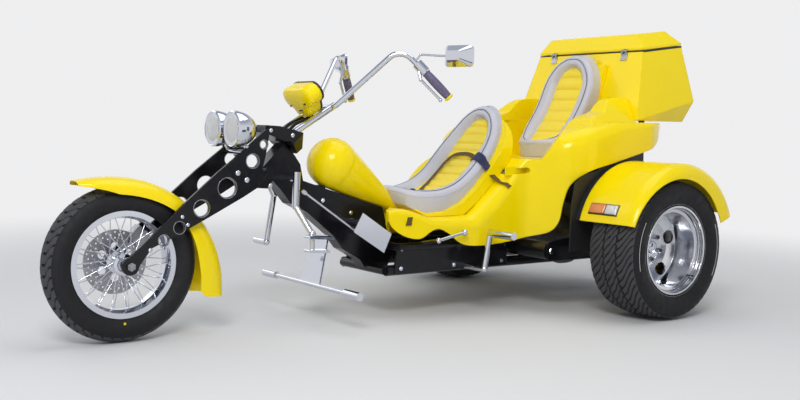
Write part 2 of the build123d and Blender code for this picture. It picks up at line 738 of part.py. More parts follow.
fender_foot = fender_radius - fender_corner - fender_skirt
with BuildPart() as fender_left:
    for spin, arc in ((1, 90 - fender_rear_angle), (-1, fender_front_angle - 90)):
        with BuildSketch(Plane(origin=at(0, *fender_centre), x_dir=(1, 0, 0), z_dir=(0, -1, 0))):
            with BuildLine():
                flat_end, corner_start, corner_mid, corner_end = fender_section(0)
                in_end, in_start, in_mid, in_corner = fender_section(fender_wall)
                Line(flat_end, corner_start)
                ThreePointArc(corner_start, corner_mid, corner_end)
                Polyline(corner_end, (corner_end[0], fender_foot), (in_corner[0], fender_foot), in_corner)
                ThreePointArc(in_corner, in_mid, in_start)
                Polyline(in_start, in_end, flat_end)
            make_face()
        revolve(axis=Axis(at(0, *fender_centre), (-spin, 0, 0)), revolution_arc=arc)
    with BuildSketch(side(fender_outer_x - fender_corner / 2)):
        with Locations(fender_arch_centre):
            Circle(fender_arch_radius)
    extrude(amount=fender_corner, mode=Mode.SUBTRACT)

# Marker lamps on the fenders' front faces, and tail lamps on their rear faces
def fender_lamp(angle, low_x, high_x, height, stand):
    """A lamp block lying on the fender's crown at an angle round its centre."""
    turn = radians(angle)
    out = Vector(0, cos(turn), sin(turn))
    with BuildPart() as lamp:
        with BuildSketch(Plane(origin=at(0, *fender_centre) + out * fender_radius,
                               x_dir=(1, 0, 0), z_dir=out)):
            with Locations(((low_x + high_x) / 2, 0)):
                RectangleRounded(high_x - low_x, height, 6)
        extrude(amount=stand)
        with BuildSketch(Plane(origin=at(0, *fender_centre) + out * fender_radius,
                               x_dir=(1, 0, 0), z_dir=-out)):
            with Locations(((low_x + high_x) / 2, 0)):
                RectangleRounded(high_x - low_x, height, 6)
        extrude(amount=4)
        add(fender_left.part, mode=Mode.SUBTRACT)
    return max(lamp.part.solids(), key=lambda solid: (solid.center() - at(0, *fender_centre)).length)


marker_lamp = fender_lamp(154.7, 585, 757, 56, 14)
tail_lamp = fender_lamp(32, 610, 790, 66, 18)

# Rear tyres and deep dished wheels, with the brake drum behind the disc
rear_tyre_left = tyre(rear_wheel_x, wheelbase, rear_tyre_radius, rear_tyre_half_width,
                      rear_bead_radius, rear_bead_half, rear_crown_half, rear_shoulder_drop)
rear_centre = Vector(rear_wheel_x, front_axle_y + wheelbase, rear_tyre_radius)
lip_radius = rear_bead_radius + bead_lip
barrel_radius = 172.0
dish_x = -42.0
lug_circle = 56.0
with BuildPart() as rear_wheel_left:
    with BuildSketch(Plane(origin=rear_centre, x_dir=(1, 0, 0), z_dir=(0, -1, 0))):
        half = rear_bead_half
        outline([(-half, rear_bead_radius), (half, rear_bead_radius), (half, lip_radius),
                 (half + 8, lip_radius), (half + 8, 196), (half - 22, 186), (half - 26, barrel_radius),
                 (-20, barrel_radius - 6), (dish_x + 6, 120), (dish_x, 78), (dish_x, 24),
                 (dish_x - 90, 24), (dish_x - 90, 40), (dish_x - 14, 44), (dish_x - 14, 84),
                 (-36, 126), (-34, barrel_radius - 4), (-half, 180), (-half - 8, 196),
                 (-half - 8, lip_radius), (-half, lip_radius)])
        outline([(dish_x - 76, 38), (dish_x - 14, 38), (dish_x - 14, drum_radius),
                 (dish_x - 76, drum_radius)])
    revolve(axis=Axis(rear_centre, (1, 0, 0)))
    with BuildSketch(Plane(origin=rear_centre + Vector(20, 0, 0), x_dir=(0, 1, 0), z_dir=(1, 0, 0))):
        with PolarLocations(132, 5, start_angle=90):
            Ellipse(28, 33)
    extrude(amount=-62, mode=Mode.SUBTRACT)
    with BuildSketch(Plane(origin=rear_centre + Vector(dish_x, 0, 0), x_dir=(0, 1, 0), z_dir=(1, 0, 0))):
        with PolarLocations(lug_circle, 5, start_angle=54):
            RegularPolygon(12, 6)
    extrude(amount=26)
    with BuildSketch(Plane(origin=rear_centre + Vector(dish_x - 100, 0, 0), z_dir=(1, 0, 0))):
        Circle(stub_radius + running_clearance)
    extrude(amount=200, mode=Mode.SUBTRACT)

# Rear axle: axle tubes with stubs, the gearbox between them and its bell housing
gearbox_radius = 104.0
nose_radius = 74.0
nose_length = 60.0
gearbox_front = wheelbase - 260.0
bell_radius = 168.0
bell_y = wheelbase + 100.0
engine_front = wheelbase + 130.0
gearbox_side = 96.0
with BuildPart() as gearbox:
    with BuildSketch(across(gearbox_front)):
        with Locations((0, rear_tyre_radius)):
            Circle(nose_radius)
    extrude(amount=nose_length)
    with BuildSketch(across(gearbox_front)):
        with Locations((0, rear_tyre_radius)):
            Circle(gearbox_radius)
    extrude(amount=gearbox_front - bell_y)
    with BuildSketch(across(bell_y)):
        with Locations((0, rear_tyre_radius)):
            Circle(bell_radius)
    extrude(amount=-(engine_front - bell_y))
with BuildPart() as rear_axle:
    add(gearbox.part)
    axle_in = at(gearbox_side - 20, wheelbase, rear_tyre_radius)
    axle_out = at(axle_tube_end, wheelbase, rear_tyre_radius)
    add(both(rod(axle_in, axle_out, axle_tube_radius)))
    add(both(rod(axle_out, at(stub_end, wheelbase, rear_tyre_radius), stub_radius)))

# Trailing arms from the torsion tube to the axle, and the sprung struts behind them
arm_x = 440.0
arm_wall = 8.0
shock_x = 476.0
shock_foot = (wheelbase + 35.0, 395.0)
with BuildPart() as arm_left:
    with BuildSketch(side(arm_x)):
        outline([(torsion_tube[0] + 5, 345), (torsion_tube[0] - 20, 340), (torsion_tube[0] - 32, 300),
                 (torsion_tube[0] - 20, 262), (torsion_tube[0] + 15, 258), (wheelbase, 262),
                 (wheelbase + 50, 290), (wheelbase + 62, 340), (wheelbase + 62, 405),
                 (wheelbase + 20, 418), (wheelbase - 10, 385)])
        with Locations((wheelbase, rear_tyre_radius)):
            Circle(axle_tube_radius, mode=Mode.SUBTRACT)
    extrude(amount=arm_wall)
    add(rod(at(arm_x + arm_wall, *shock_foot), at(shock_x + 22, *shock_foot), 8))
strut_top = (support_y - 6, shock_bar_z - 21)
with BuildPart() as strut_left:
    add(rod(at(shock_x - 18, *shock_foot), at(shock_x + 18, *shock_foot), 17))
    strut_dir = (at(shock_x, *strut_top) - at(shock_x, *shock_foot)).normalized()
    strut_base = at(shock_x, *shock_foot)
    add(rod(strut_base + strut_dir * 10, at(shock_x, *strut_top), 9))
    add(rod(strut_base + strut_dir * 34, strut_base + strut_dir * 235, 25))
    add(arm_left.part, mode=Mode.SUBTRACT)
    add(frame.part, mode=Mode.SUBTRACT)

# Rear engine: a flat engine's crankcase and cylinder heads, its fan housing, pulleys and muffler
engine_rear = engine_front + 330.0
fin_count = 15
fin_step = 18.0
crank_z = 330.0
with BuildPart() as engine_block:
    with BuildSketch(across(engine_front)):
        with Locations((0, crank_z)):
            RectangleRounded(250, 240, 60)
    extrude(amount=-(engine_rear - engine_front))
    for index in range(fin_count):
        with BuildSketch(across(engine_front + 40 + fin_step * index)):
            with Locations((0, crank_z + 15)):
                Rectangle(640, 118)
        extrude(amount=-8)
    with BuildSketch(across(engine_front + 32)):
        with Locations((-345, crank_z + 15), (345, crank_z + 15), (-190, crank_z + 15),
                       (190, crank_z + 15)):
            Rectangle(50, 108)
    extrude(amount=-274)
    with BuildSketch(across(engine_rear)):
        with Locations((0, crank_z)):
            Circle(78)
    extrude(amount=-28)
shroud_front = engine_front + 70.0
shroud_rear = engine_front + 210.0
with BuildPart() as fan_housing:
    with BuildSketch(across(shroud_front)):
        outline([(-300, 450), (300, 450), (310, 640), (-310, 640)])
        with Locations((0, 690)):
            Circle(172)
    extrude(amount=-(shroud_rear - shroud_front))
    with BuildSketch(across(shroud_rear)):
        with Locations((0, 690)):
            Circle(52)
    extrude(amount=-150)
    with BuildSketch(across(shroud_rear + 150)):
        with Locations((0, 690)):
            Circle(66)
    extrude(amount=-18)
muffler_place = (engine_rear + 108.0, 262.0)
muffler_radius = 52.0
with BuildPart() as muffler:
    add(rod(at(-290, *muffler_place), at(290, *muffler_place), muffler_radius))
    add(both(rod(at(120, *muffler_place), at(150, engine_rear + 160, 236), 17)))
    add(both(rod(at(330, engine_rear - 60, 300), at(240, *muffler_place), 21)))
    add(engine_block.part, mode=Mode.SUBTRACT)

# Rider's seat: shell on the tub, padded bolster ring and ribbed centre panel
seat_under = [(1261, 556), (1284, 514), (1361, 471), (1453, 481), (1548, 520), (1630, 586),
              (1688, 651), (1766, 747), (1834, 842), (1869, 907), (1892, 988)]
seat_top = [(1852, 987), (1823, 927), (1782, 847), (1713, 754), (1628, 660), (1543, 600),
            (1439, 567), (1329, 567), (1260, 592)]
panel_top = [(1858, 963), (1843, 932), (1797, 869), (1767, 809), (1738, 738), (1674, 641),
             (1589, 562), (1499, 535), (1399, 531)]
seat_foot = [(1362, 457), (1549, 461), (1634, 521), (1748, 627)]
seat_back_foot = (1815, 638)
seat_back_knee = (1866, 846)
with BuildPart() as rider_seat_shell:
    add(slab(seat_under[1:-1] + [seat_back_knee, seat_back_foot] + seat_foot[::-1], 300))
    add(oval(*rider_shell), mode=Mode.INTERSECT)
    add(tub_outer, mode=Mode.SUBTRACT)
    add(fuel_tank.part, mode=Mode.SUBTRACT)
panel_hole = oval(*rider_centre)
with BuildPart() as rider_seat_bolster:
    add(slab(seat_under + seat_top, 300))
    add(oval(*rider_pad), mode=Mode.INTERSECT)
    add(panel_hole, mode=Mode.SUBTRACT)
    add(fuel_tank.part, mode=Mode.SUBTRACT)
with BuildPart() as rider_seat_panel:
    add(slab(seat_under + panel_top, 300))
    add(panel_hole, mode=Mode.INTERSECT)

# Passenger's seat against the box
back_under = [(2163, 721), (2260, 728), (2347, 824), (2427, 931), (2484, 1041), (2533, 1201),
              (2547, 1259)]
back_top = [(2477, 1259), (2450, 1191), (2420, 1091), (2372, 985), (2305, 888), (2237, 822),
            (2155, 805)]
back_panel = [(2487, 1231), (2443, 1173), (2416, 1085), (2360, 971), (2293, 877), (2229, 800),
              (2177, 795)]


back_hole = oval(*passenger_centre)
with BuildPart() as passenger_seat_bolster:
    add(slab(back_under + back_top, 300))
    add(oval(*passenger_pad), mode=Mode.INTERSECT)
    add(back_hole, mode=Mode.SUBTRACT)
with BuildPart() as passenger_seat_panel:
    add(slab(back_under + back_panel, 300))
    add(back_hole, mode=Mode.INTERSECT)
with BuildPart() as passenger_seat_shell:
    add(slab([(2262, recess_floor)] + back_under[1:-1]
             + [(box_front_at(1200), 1200), box_front_foot, (2440, box_front_foot[1]),
                (2440, recess_floor)], passenger_pad[0] - 20))

# Luggage box: leaning walls, a chamfered foot and a sloping seam, all of one wall thickness
def tilt_plane(a, b, c):
    """The plane through three points, facing away from the vehicle's middle plane."""
    normal = (b - a).cross(c - a).normalized()
    if normal.X * a.X < 0:
        normal = -normal
    return Plane(origin=a, z_dir=normal)


def box_form(inset, profile):
    """The box's outer form, or its inside when every wall is drawn in."""
    cuts = [(at(box_half_foot, *box_front_foot), at(box_half_seam, *box_front_seam),
             at(box_half_seam, *box_rear_seam)),
            (at(box_half_foot, *box_front_foot), at(box_half_foot - 6, *box_rear_low),
             at(box_half_rear_foot, *box_rear_foot))]
    with BuildPart() as form:
        with BuildSketch(side(0)):
            outline(profile)
            if inset > 0:
                offset(amount=-inset, kind=Kind.INTERSECTION)
        extrude(amount=600, both=True)
        for corner_a, corner_b, corner_c in cuts:
            cut = tilt_plane(corner_a, corner_b, corner_c).offset(-inset)
            split(bisect_by=cut, keep=Keep.BOTTOM)
            mirror_cut = Plane(origin=Vector(-cut.origin.X, cut.origin.Y, cut.origin.Z),
                               z_dir=Vector(-cut.z_dir.X, cut.z_dir.Y, cut.z_dir.Z))
            split(bisect_by=mirror_cut, keep=Keep.BOTTOM)
    return form.part


box_profile = [box_front_foot, box_front_seam, box_rear_seam, box_rear_low, box_rear_foot]
open_profile = [box_front_foot, box_front_seam, (2605, 1400), (2880, 1400), box_rear_seam,
                box_rear_low, box_rear_foot]
foot_sink = 3.0
with BuildPart() as luggage_box:
    add(box_form(0, box_profile))
    add(box_form(box_wall, open_profile), mode=Mode.SUBTRACT)
    with BuildSketch(level(deck_z)):
        with Locations((-250, 2541), (250, 2541)):
            Rectangle(60, 90)
    extrude(amount=box_front_foot[1] - deck_z + foot_sink)

# Lid: a chamfered cap over the seam, hollow underneath
seam_along = Vector(0, box_rear_seam[0] - box_front_seam[0], box_rear_seam[1] - box_front_seam[1])
seam_length = seam_along.length
seam_plane = Plane(origin=at(0, *box_front_seam), x_dir=(1, 0, 0),
                   z_dir=Vector(1, 0, 0).cross(seam_along.normalized()))
lid_gap = moving_gap
lid_edge = 12.0


def lid_form(inset, low):
    """The lid's outer form on the seam plane, or its inside."""
    half, length = box_half_seam - inset, seam_length
    sections = ((low, 0), (lid_gap + lid_edge, 0), (lid_gap + lid_height - inset, lid_top_inset))
    with BuildPart() as form:
        for (low_z, low_in), (high_z, high_in) in zip(sections, sections[1:]):
            for height, pull in ((low_z, low_in), (high_z, high_in)):
                with BuildSketch(seam_plane.offset(height)):
                    with Locations((0, length / 2 - pull * 0.15)):
                        Rectangle(2 * (half - pull), length - 2 * inset - 1.3 * pull)
            loft(ruled=True)
    return form.part


with BuildPart() as box_lid:
    add(lid_form(0, lid_gap))
    add(lid_form(box_wall, lid_gap - 1), mode=Mode.SUBTRACT)

# Lid hinges: leaves on the box's front face and on the lid's front edge, knuckles on one pin
hinge_x = 250.0
hinge_out = 9.0
hinge_up = 2.5
knuckle_radius = 6.0
hinge_pin_radius = 3.0
leaf_thickness = 4.0
face_up = Vector(0, box_front_seam[0] - box_front_foot[0], box_front_seam[1] - box_front_foot[1])
face_up = face_up.normalized()
face_out = Vector(1, 0, 0).cross(face_up) * -1
if face_out.Y > 0:
    face_out = -face_out
seam_point = at(0, *box_front_seam)
hinge_axis = seam_point + face_up * hinge_up + face_out * hinge_out


def leaf(x, width, corners):
    """A strip across the vehicle whose side outline is given up and out from the seam edge."""
    with BuildPart() as strip:
        with BuildSketch(Plane(origin=Vector(x - width / 2, 0, 0) + seam_point, x_dir=(0, 1, 0),
                               z_dir=(1, 0, 0))):
            outline([((face_up * up + face_out * out).Y, (face_up * up + face_out * out).Z)
                     for up, out in corners])
        extrude(amount=width)
    return strip.part


with BuildPart() as box_hinge_left:
    add(leaf(hinge_x, 40, [(-46, 0), (-46, leaf_thickness), (-12, leaf_thickness), (-12, 0)]))
    for knuckle_x in (hinge_x - 12, hinge_x + 12):
        add(leaf(knuckle_x, 12, [(-20, 0), (-20, leaf_thickness), (-2, 14), (hinge_up, hinge_out),
                                 (-6, 2), (-6, 0)]))
        add(rod(hinge_axis + Vector(knuckle_x - 6, 0, 0), hinge_axis + Vector(knuckle_x + 6, 0, 0),
                knuckle_radius))
    add(rod(hinge_axis + Vector(hinge_x - 20, 0, 0), hinge_axis + Vector(hinge_x + 20, 0, 0),
            hinge_pin_radius))
lid_front_foot = seam_point + seam_plane.z_dir * lid_gap
with BuildPart() as lid_hinge_left:
    add(rod(hinge_axis + Vector(hinge_x - 5.5, 0, 0), hinge_axis + Vector(hinge_x + 5.5, 0, 0),
            knuckle_radius))
    with BuildSketch(Plane(origin=lid_front_foot + Vector(hinge_x - 5.5, 0, 0),
                           x_dir=seam_along.normalized(), z_dir=(1, 0, 0))):
        outline([(0, 0), (0, 11), (-3, 11), (-9, 5), (-7, 0)])
    extrude(amount=11)
    add(rod(hinge_axis + Vector(hinge_x - 10, 0, 0), hinge_axis + Vector(hinge_x + 10, 0, 0),
            hinge_pin_radius + running_clearance), mode=Mode.SUBTRACT)
    add(box_lid.part, mode=Mode.SUBTRACT)

# Foot pedals on arms beside the steering head
pedal_x = 130.0
pedal_post = (710.0, 631.0)
near_top, near_knee, near_foot, near_end = (712, 663), (708, 519), (744, 408), (733, 335)
far_knee, far_foot = (751, 551), (714, 341)
pad_x = 225.0
pad_half = 25.0
elbow = 16.0
with BuildPart() as foot_pedals:
    for sign in (1, -1):
        add(rod(at(sign * neck_half_width, *pedal_post), at(sign * pedal_x, *pedal_post), 13))
    add(rod(at(pedal_x, *near_top), at(pedal_x, *near_knee), 16))
    add(rod(at(pedal_x, *near_knee), at(pad_x - 20, *near_foot), 13))
    add(rod(at(pad_x - 20, *near_foot), at(pad_x, *near_end), 11))
    add(rod(at(-pedal_x, *pedal_post), at(-pedal_x, *far_knee), 15))
    add(rod(at(-pedal_x, *far_knee), at(-pedal_x, *far_foot), 13))
    add(rod(at(-pedal_x, *far_foot), at(-pad_x, *far_foot), 15))
    for ball_x, ball in ((pedal_x, near_knee), (pad_x - 20, near_foot), (-pedal_x, far_knee),
                         (-pedal_x, far_foot), (-pedal_x, pedal_post)):
        add(Solid.make_sphere(elbow, Plane(origin=at(ball_x, *ball))))
    for pad_low, pad_high in (((713, 399), (821, 390)), ((714, 341), (802, 336))):
        pad_along = Vector(0, pad_high[0] - pad_low[0], pad_high[1] - pad_low[1])
        with BuildSketch(Plane(origin=at(pad_x - pad_half, *pad_low), x_dir=pad_along, z_dir=(1, 0, 0))):
            with Locations((pad_along.length / 2, 0)):
                SlotOverall(pad_along.length + 12, 12)
        extrude(amount=2 * pad_half)

# Footrest bar across the front, on a tapered plate under the frame
rest_bar = (860.0, 162.0)
rest_top = (925.0, 377.0)
rest_half = 398.0
with BuildPart() as footrests:
    add(rod(at(-rest_half, *rest_bar), at(rest_half, *rest_bar), 11))
    add(both(rod(at(288, *rest_bar), at(rest_half, *rest_bar), 18)))
    rest_up = at(0, *rest_top) - at(0, *rest_bar)
    with BuildSketch(Plane(origin=at(0, *rest_bar), x_dir=(1, 0, 0),
                           z_dir=Vector(1, 0, 0).cross(rest_up.normalized()))):
        outline([(-85, 0), (85, 0), (50, rest_up.length), (-50, rest_up.length)])
    extrude(amount=4, both=True)
    add(frame.part, mode=Mode.SUBTRACT)

# Passenger's pegs on outriggers from the frame
peg_x = 330.0
peg_foot = (1591.0, 220.0)
peg_top = (1621.0, 384.0)
peg_tip_x = 490.0
with BuildPart() as peg_left:
    add(rod(at(side_plate_x, *peg_foot), at(peg_x, *peg_foot), 15))
    add(rod(at(peg_x, *peg_foot), at(peg_x, *peg_top), 14))
    add(rod(at(peg_x, *peg_top), at(peg_tip_x, *peg_top), 18))
    add(Solid.make_sphere(16, Plane(origin=at(peg_x, *peg_foot))))
    add(frame.part, mode=Mode.SUBTRACT)

# Gear linkage: a plate standing off the frame's left side, and the gear lever under the tub's arch
plate_x = 195.0
plate_thickness = 5.0
lever_x = 312.0
lever_pivot = (1335.0, 361.0)
lever_tip = (1485.0, 391.0)
with BuildPart() as gear_linkage:
    with BuildSketch(side(plate_x)):
        outline([(1003, 487), (1158, 388), (1119, 306), (957, 406)])
    extrude(amount=plate_thickness)
    for y, z in ((1014, 443), (1090, 378)):
        add(rod(at(neck_half_width, y, z), at(plate_x, y, z), 11))
    add(rod(at(side_plate_x, *lever_pivot) - Vector(0, 0, 22), at(lever_x, *lever_pivot), 9))
    add(rod(at(lever_x, *lever_pivot), at(lever_x, *lever_tip), 7))
    add(Solid.make_sphere(15, Plane(origin=at(lever_x, *lever_tip))))
    add(Solid.make_sphere(13, Plane(origin=at(lever_x, *lever_pivot))))
    add(frame.part, mode=Mode.SUBTRACT)
    add(body_tub.part, mode=Mode.SUBTRACT)

pieces = {
    "front_tyre": front_tyre,
    "front_rim": front_rim.part,
    "front_brake_disc": front_brake_disc.part,
    "front_axle": front_axle.part,
    "fork_plates": fork_plates.part,
    "steering_yokes": steering_yokes.part,
    "handlebar": handlebar.part,
    "risers": risers.part,
    "hand_grips": hand_grips.part,
    "bar_controls": bar_controls.part,
    "mirrors": group(mirror_left.part),
    "instrument_pod": instrument_pod.part,
    "headlamps": headlamp_bracket.part,
    "headlamp_lenses": headlamp_lenses.part,
    "front_fender": front_fender.part,
    "brake_caliper": brake_caliper.part,
    "frame": frame.part,
    "fuel_tank": fuel_tank.part,
    "body_tub": body_tub.part,
    "wheel_houses": group(house_left.part),
    "rear_fenders": group(fender_left.part),
    "fender_lamps": group(marker_lamp, tail_lamp),
    "rear_tyre_left": rear_tyre_left,
    "rear_tyre_right": mirrored(rear_tyre_left),
    "rear_wheel_left": rear_wheel_left.part,
    "rear_wheel_right": mirrored(rear_wheel_left.part),
    "rear_axle": rear_axle.part,
    "trailing_arms": group(arm_left.part),
    "suspension_struts": group(strut_left.part),
    "engine_block": engine_block.part,
    "fan_housing": fan_housing.part,
    "muffler": muffler.part,
    "rider_seat_shell": rider_seat_shell.part,
    "rider_seat_bolster": rider_seat_bolster.part,
    "rider_seat_panel": rider_seat_panel.part,
    "passenger_seat_shell": passenger_seat_shell.part,
    "passenger_seat_bolster": passenger_seat_bolster.part,
    "passenger_seat_panel": passenger_seat_panel.part,
    "luggage_box": luggage_box.part,
    "box_lid": box_lid.part,
    "box_hinges": group(box_hinge_left.part),
    "lid_hinges": group(lid_hinge_left.part),
    "foot_pedals": foot_pedals.part,
    "footrests": Compound(children=[footrests.part.solid()] + group(peg_left.part).solids()),
    "gear_linkage": gear_linkage.part,
}

os.makedirs("parts", exist_ok=True)
for name, piece in pieces.items():
    piece.label = name
    export_step(piece, f"parts/{name}.step")
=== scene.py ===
from math import atan2, cos, exp, hypot, pi, radians, sin, sqrt, tau

import bmesh
import bpy
import numpy as np
from mathutils import Matrix, Vector


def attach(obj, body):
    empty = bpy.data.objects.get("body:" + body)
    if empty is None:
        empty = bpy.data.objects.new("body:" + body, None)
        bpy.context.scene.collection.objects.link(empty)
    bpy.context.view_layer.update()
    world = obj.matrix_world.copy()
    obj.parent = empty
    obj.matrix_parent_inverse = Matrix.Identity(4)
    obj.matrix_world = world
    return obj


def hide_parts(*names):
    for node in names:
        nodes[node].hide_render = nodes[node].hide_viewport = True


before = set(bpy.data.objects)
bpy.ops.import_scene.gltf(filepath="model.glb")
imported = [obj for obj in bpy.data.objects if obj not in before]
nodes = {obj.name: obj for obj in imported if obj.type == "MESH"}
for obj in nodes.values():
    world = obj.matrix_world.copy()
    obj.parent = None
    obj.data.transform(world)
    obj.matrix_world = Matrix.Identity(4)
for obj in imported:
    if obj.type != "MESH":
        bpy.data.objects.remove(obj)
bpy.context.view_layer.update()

# Points are given as (x, distance behind the front axle, height) in millimetres, as the part's
# own drawing gives them, and turned into the frame's metres here.
FRONT_AXLE_Y = -1312.5
MM = 0.001
SIDEWAYS = Vector((1, 0, 0))
REARWARDS = Vector((0, 1, 0))
UPWARDS = Vector((0, 0, 1))


def at(x, y, z):
    return Vector((x * MM, (FRONT_AXLE_Y + y) * MM, z * MM))


# Materials

def feed(tree, socket, value):
    """Sets an input to a value, or links another node's output to it."""
    if isinstance(value, bpy.types.NodeSocket):
        tree.links.new(value, socket)
    else:
        socket.default_value = value


def node(tree, kind, inputs=None, **settings):
    """A new shader node with its settings and inputs."""
    made = tree.nodes.new("ShaderNode" + kind)
    for name, value in settings.items():
        setattr(made, name, value)
    for name, value in (inputs or {}).items():
        feed(tree, made.inputs[name], value)
    return made


def press(mat, height, depth, strength):
    """Presses a pattern into a material, over the normal that it has."""
    tree = mat.node_tree
    normal = tree.nodes["Principled BSDF"].inputs["Normal"]
    bump = node(tree, "Bump", {"Distance": depth, "Strength": strength, "Height": height})
    if normal.links:
        feed(tree, bump.inputs["Normal"], normal.links[0].from_socket)
    feed(tree, normal, bump.outputs["Normal"])
    return mat


def shade(colour, share):
    return (*[min(1, c * share) for c in colour], 1)


def material(name, colour, rough, metal=0.0, grain=0.0, grain_scale=300.0, spread=0.06, vary=0.06,
             cloud=9.0, edge=0.0, coat=0.0, coat_rough=0.05, sheen=0.0, specular=0.5, clearness=0.0):
    """A surface with clouded colour and roughness, a fine grain and softened edges."""
    mat = bpy.data.materials.new(name)
    mat.use_nodes = True
    tree = mat.node_tree
    place = node(tree, "TexCoord").outputs["Object"]
    clouds = node(tree, "TexNoise", {"Vector": place, "Scale": cloud, "Detail": 5})
    tint = node(tree, "Mix", {0: clouds.outputs["Fac"], 6: shade(colour, 1 - vary),
                              7: shade(colour, 1 + vary)}, data_type="RGBA")
    scuff = node(tree, "TexNoise", {"Vector": place, "Scale": cloud * 4.3, "Detail": 8})
    gloss = node(tree, "MapRange", {"From Min": 0.3, "From Max": 0.7, "To Min": max(0.01, rough - spread),
                                    "To Max": min(1.0, rough + spread), "Value": scuff.outputs["Fac"]})
    shader = tree.nodes["Principled BSDF"]
    for socket, value in {
            "Base Color": tint.outputs[2], "Roughness": gloss.outputs["Result"], "Metallic": metal,
            "Coat Weight": coat, "Coat Roughness": coat_rough, "Sheen Weight": sheen, "IOR": 1.5,
            "Specular IOR Level": specular, "Transmission Weight": clearness}.items():
        feed(tree, shader.inputs[socket], value)
    if edge > 0:
        soft = node(tree, "Bevel", {"Radius": edge}, samples=6)
        feed(tree, shader.inputs["Normal"], soft.outputs["Normal"])
    if grain > 0:
        fine = node(tree, "TexNoise", {"Vector": place, "Scale": grain_scale, "Detail": 3})
        press(mat, fine.outputs["Fac"], grain, 0.6)
    return mat


def leathery(mat):
    """Leather cells pressed into a material."""
    place = node(mat.node_tree, "TexCoord").outputs["Object"]
    cells = node(mat.node_tree, "TexVoronoi", {"Scale": 420, "Vector": place}, feature="DISTANCE_TO_EDGE")
    return press(mat, cells.outputs["Distance"], 0.0006, 0.5)


def striped(mat, scale, depth, axis):
    """Parallel flutes or threads pressed into a material."""
    place = node(mat.node_tree, "TexCoord").outputs["Object"]
    wave = node(mat.node_tree, "TexWave", {"Scale": scale, "Vector": place}, bands_direction=axis)
    return press(mat, wave.outputs["Fac"], depth, 0.8)


YELLOW = (1.0, 0.76, 0.0)
yellow = material("yellow_paint", YELLOW, 0.24, grain=0.0003, grain_scale=90, edge=0.007,
                  coat=0.2, coat_rough=0.04, vary=0.02, spread=0.04, specular=0.2)
# Nearly the same paint without softened edges, for the pod's cover and the front fender
yellow_smooth = material("yellow_moulded", YELLOW, 0.24, grain=0.0002, grain_scale=60,
                         coat=0.3, coat_rough=0.04, vary=0.02, spread=0.04, specular=0.2)
black = material("black_enamel", (0.006, 0.006, 0.008), 0.22, grain=0.0003, grain_scale=160,
                 edge=0.003, vary=0.2, spread=0.05, specular=0.35)
# The chrome's base colour is tinted blue: a painted reflection of blue sky, laid over the plate's own grey
chrome = material("chrome_plate", (0.66, 0.68, 0.74), 0.07, metal=1.0, grain=0.00015,
                  grain_scale=90, vary=0.03, spread=0.03)
alloy = material("polished_alloy", (0.68, 0.69, 0.72), 0.16, metal=1.0, grain=0.0002,
                 grain_scale=220, edge=0.003)
steel = material("brushed_steel", (0.36, 0.36, 0.38), 0.34, metal=1.0, grain=0.0005,
                 grain_scale=400, edge=0.002, vary=0.15, spread=0.12)
cast = material("cast_metal", (0.2, 0.2, 0.21), 0.58, metal=0.85, grain=0.0016,
                grain_scale=260, edge=0.004, vary=0.25, spread=0.14)
rubber = material("tyre_rubber", (0.011, 0.011, 0.013), 0.62, grain=0.0008, grain_scale=420,
                  vary=0.3, spread=0.1, specular=0.3)
panel = material("black_panel", (0.012, 0.012, 0.013), 0.5, grain=0.0008, grain_scale=350,
                 edge=0.003, vary=0.25, spread=0.1)
plastic = material("black_plastic", (0.014, 0.014, 0.017), 0.38, grain=0.0005,
                   grain_scale=700, edge=0.003, vary=0.2, spread=0.08)
grip = material("grip_rubber", (0.13, 0.11, 0.19), 0.42, grain=0.0006, grain_scale=500,
                vary=0.2)
grey_vinyl = leathery(material("grey_vinyl", (0.56, 0.56, 0.63), 0.42, vary=0.05,
                               spread=0.08, sheen=0.15, edge=0.004))
yellow_vinyl = leathery(material("yellow_vinyl", (0.95, 0.74, 0.03), 0.45, vary=0.05,
                                 spread=0.08, sheen=0.15, edge=0.004))
piping = material("dark_piping", (0.1, 0.1, 0.12), 0.4, grain=0.0004, grain_scale=900,
                  vary=0.2)
navy_webbing = striped(material("navy_webbing", (0.02, 0.025, 0.09), 0.7, vary=0.15,
                                spread=0.1), 150, 0.0008, "DIAGONAL")
brown_webbing = striped(material("brown_webbing", (0.13, 0.075, 0.015), 0.7, vary=0.15,
                                 spread=0.1), 150, 0.0008, "DIAGONAL")
amber = striped(material("amber_lens", (0.85, 0.2, 0.0), 0.16, spread=0.05, coat=0.25,
                         clearness=0.25), 60, 0.0006, "X")
clear = striped(material("clear_lens", (0.93, 0.94, 0.96), 0.06, vary=0.02, spread=0.03,
                         coat=0.5, clearness=0.35), 55, 0.002, "X")
red_lens = striped(material("red_lens", (0.6, 0.01, 0.01), 0.12, spread=0.05, coat=0.6),
                   60, 0.0006, "X")
white_paint = material("white_marking", (0.8, 0.8, 0.78), 0.5, grain=0.0004, grain_scale=500)
dial = material("dial_face", (0.01, 0.01, 0.012), 0.3, grain=0.0002, grain_scale=900,
                vary=0.2)

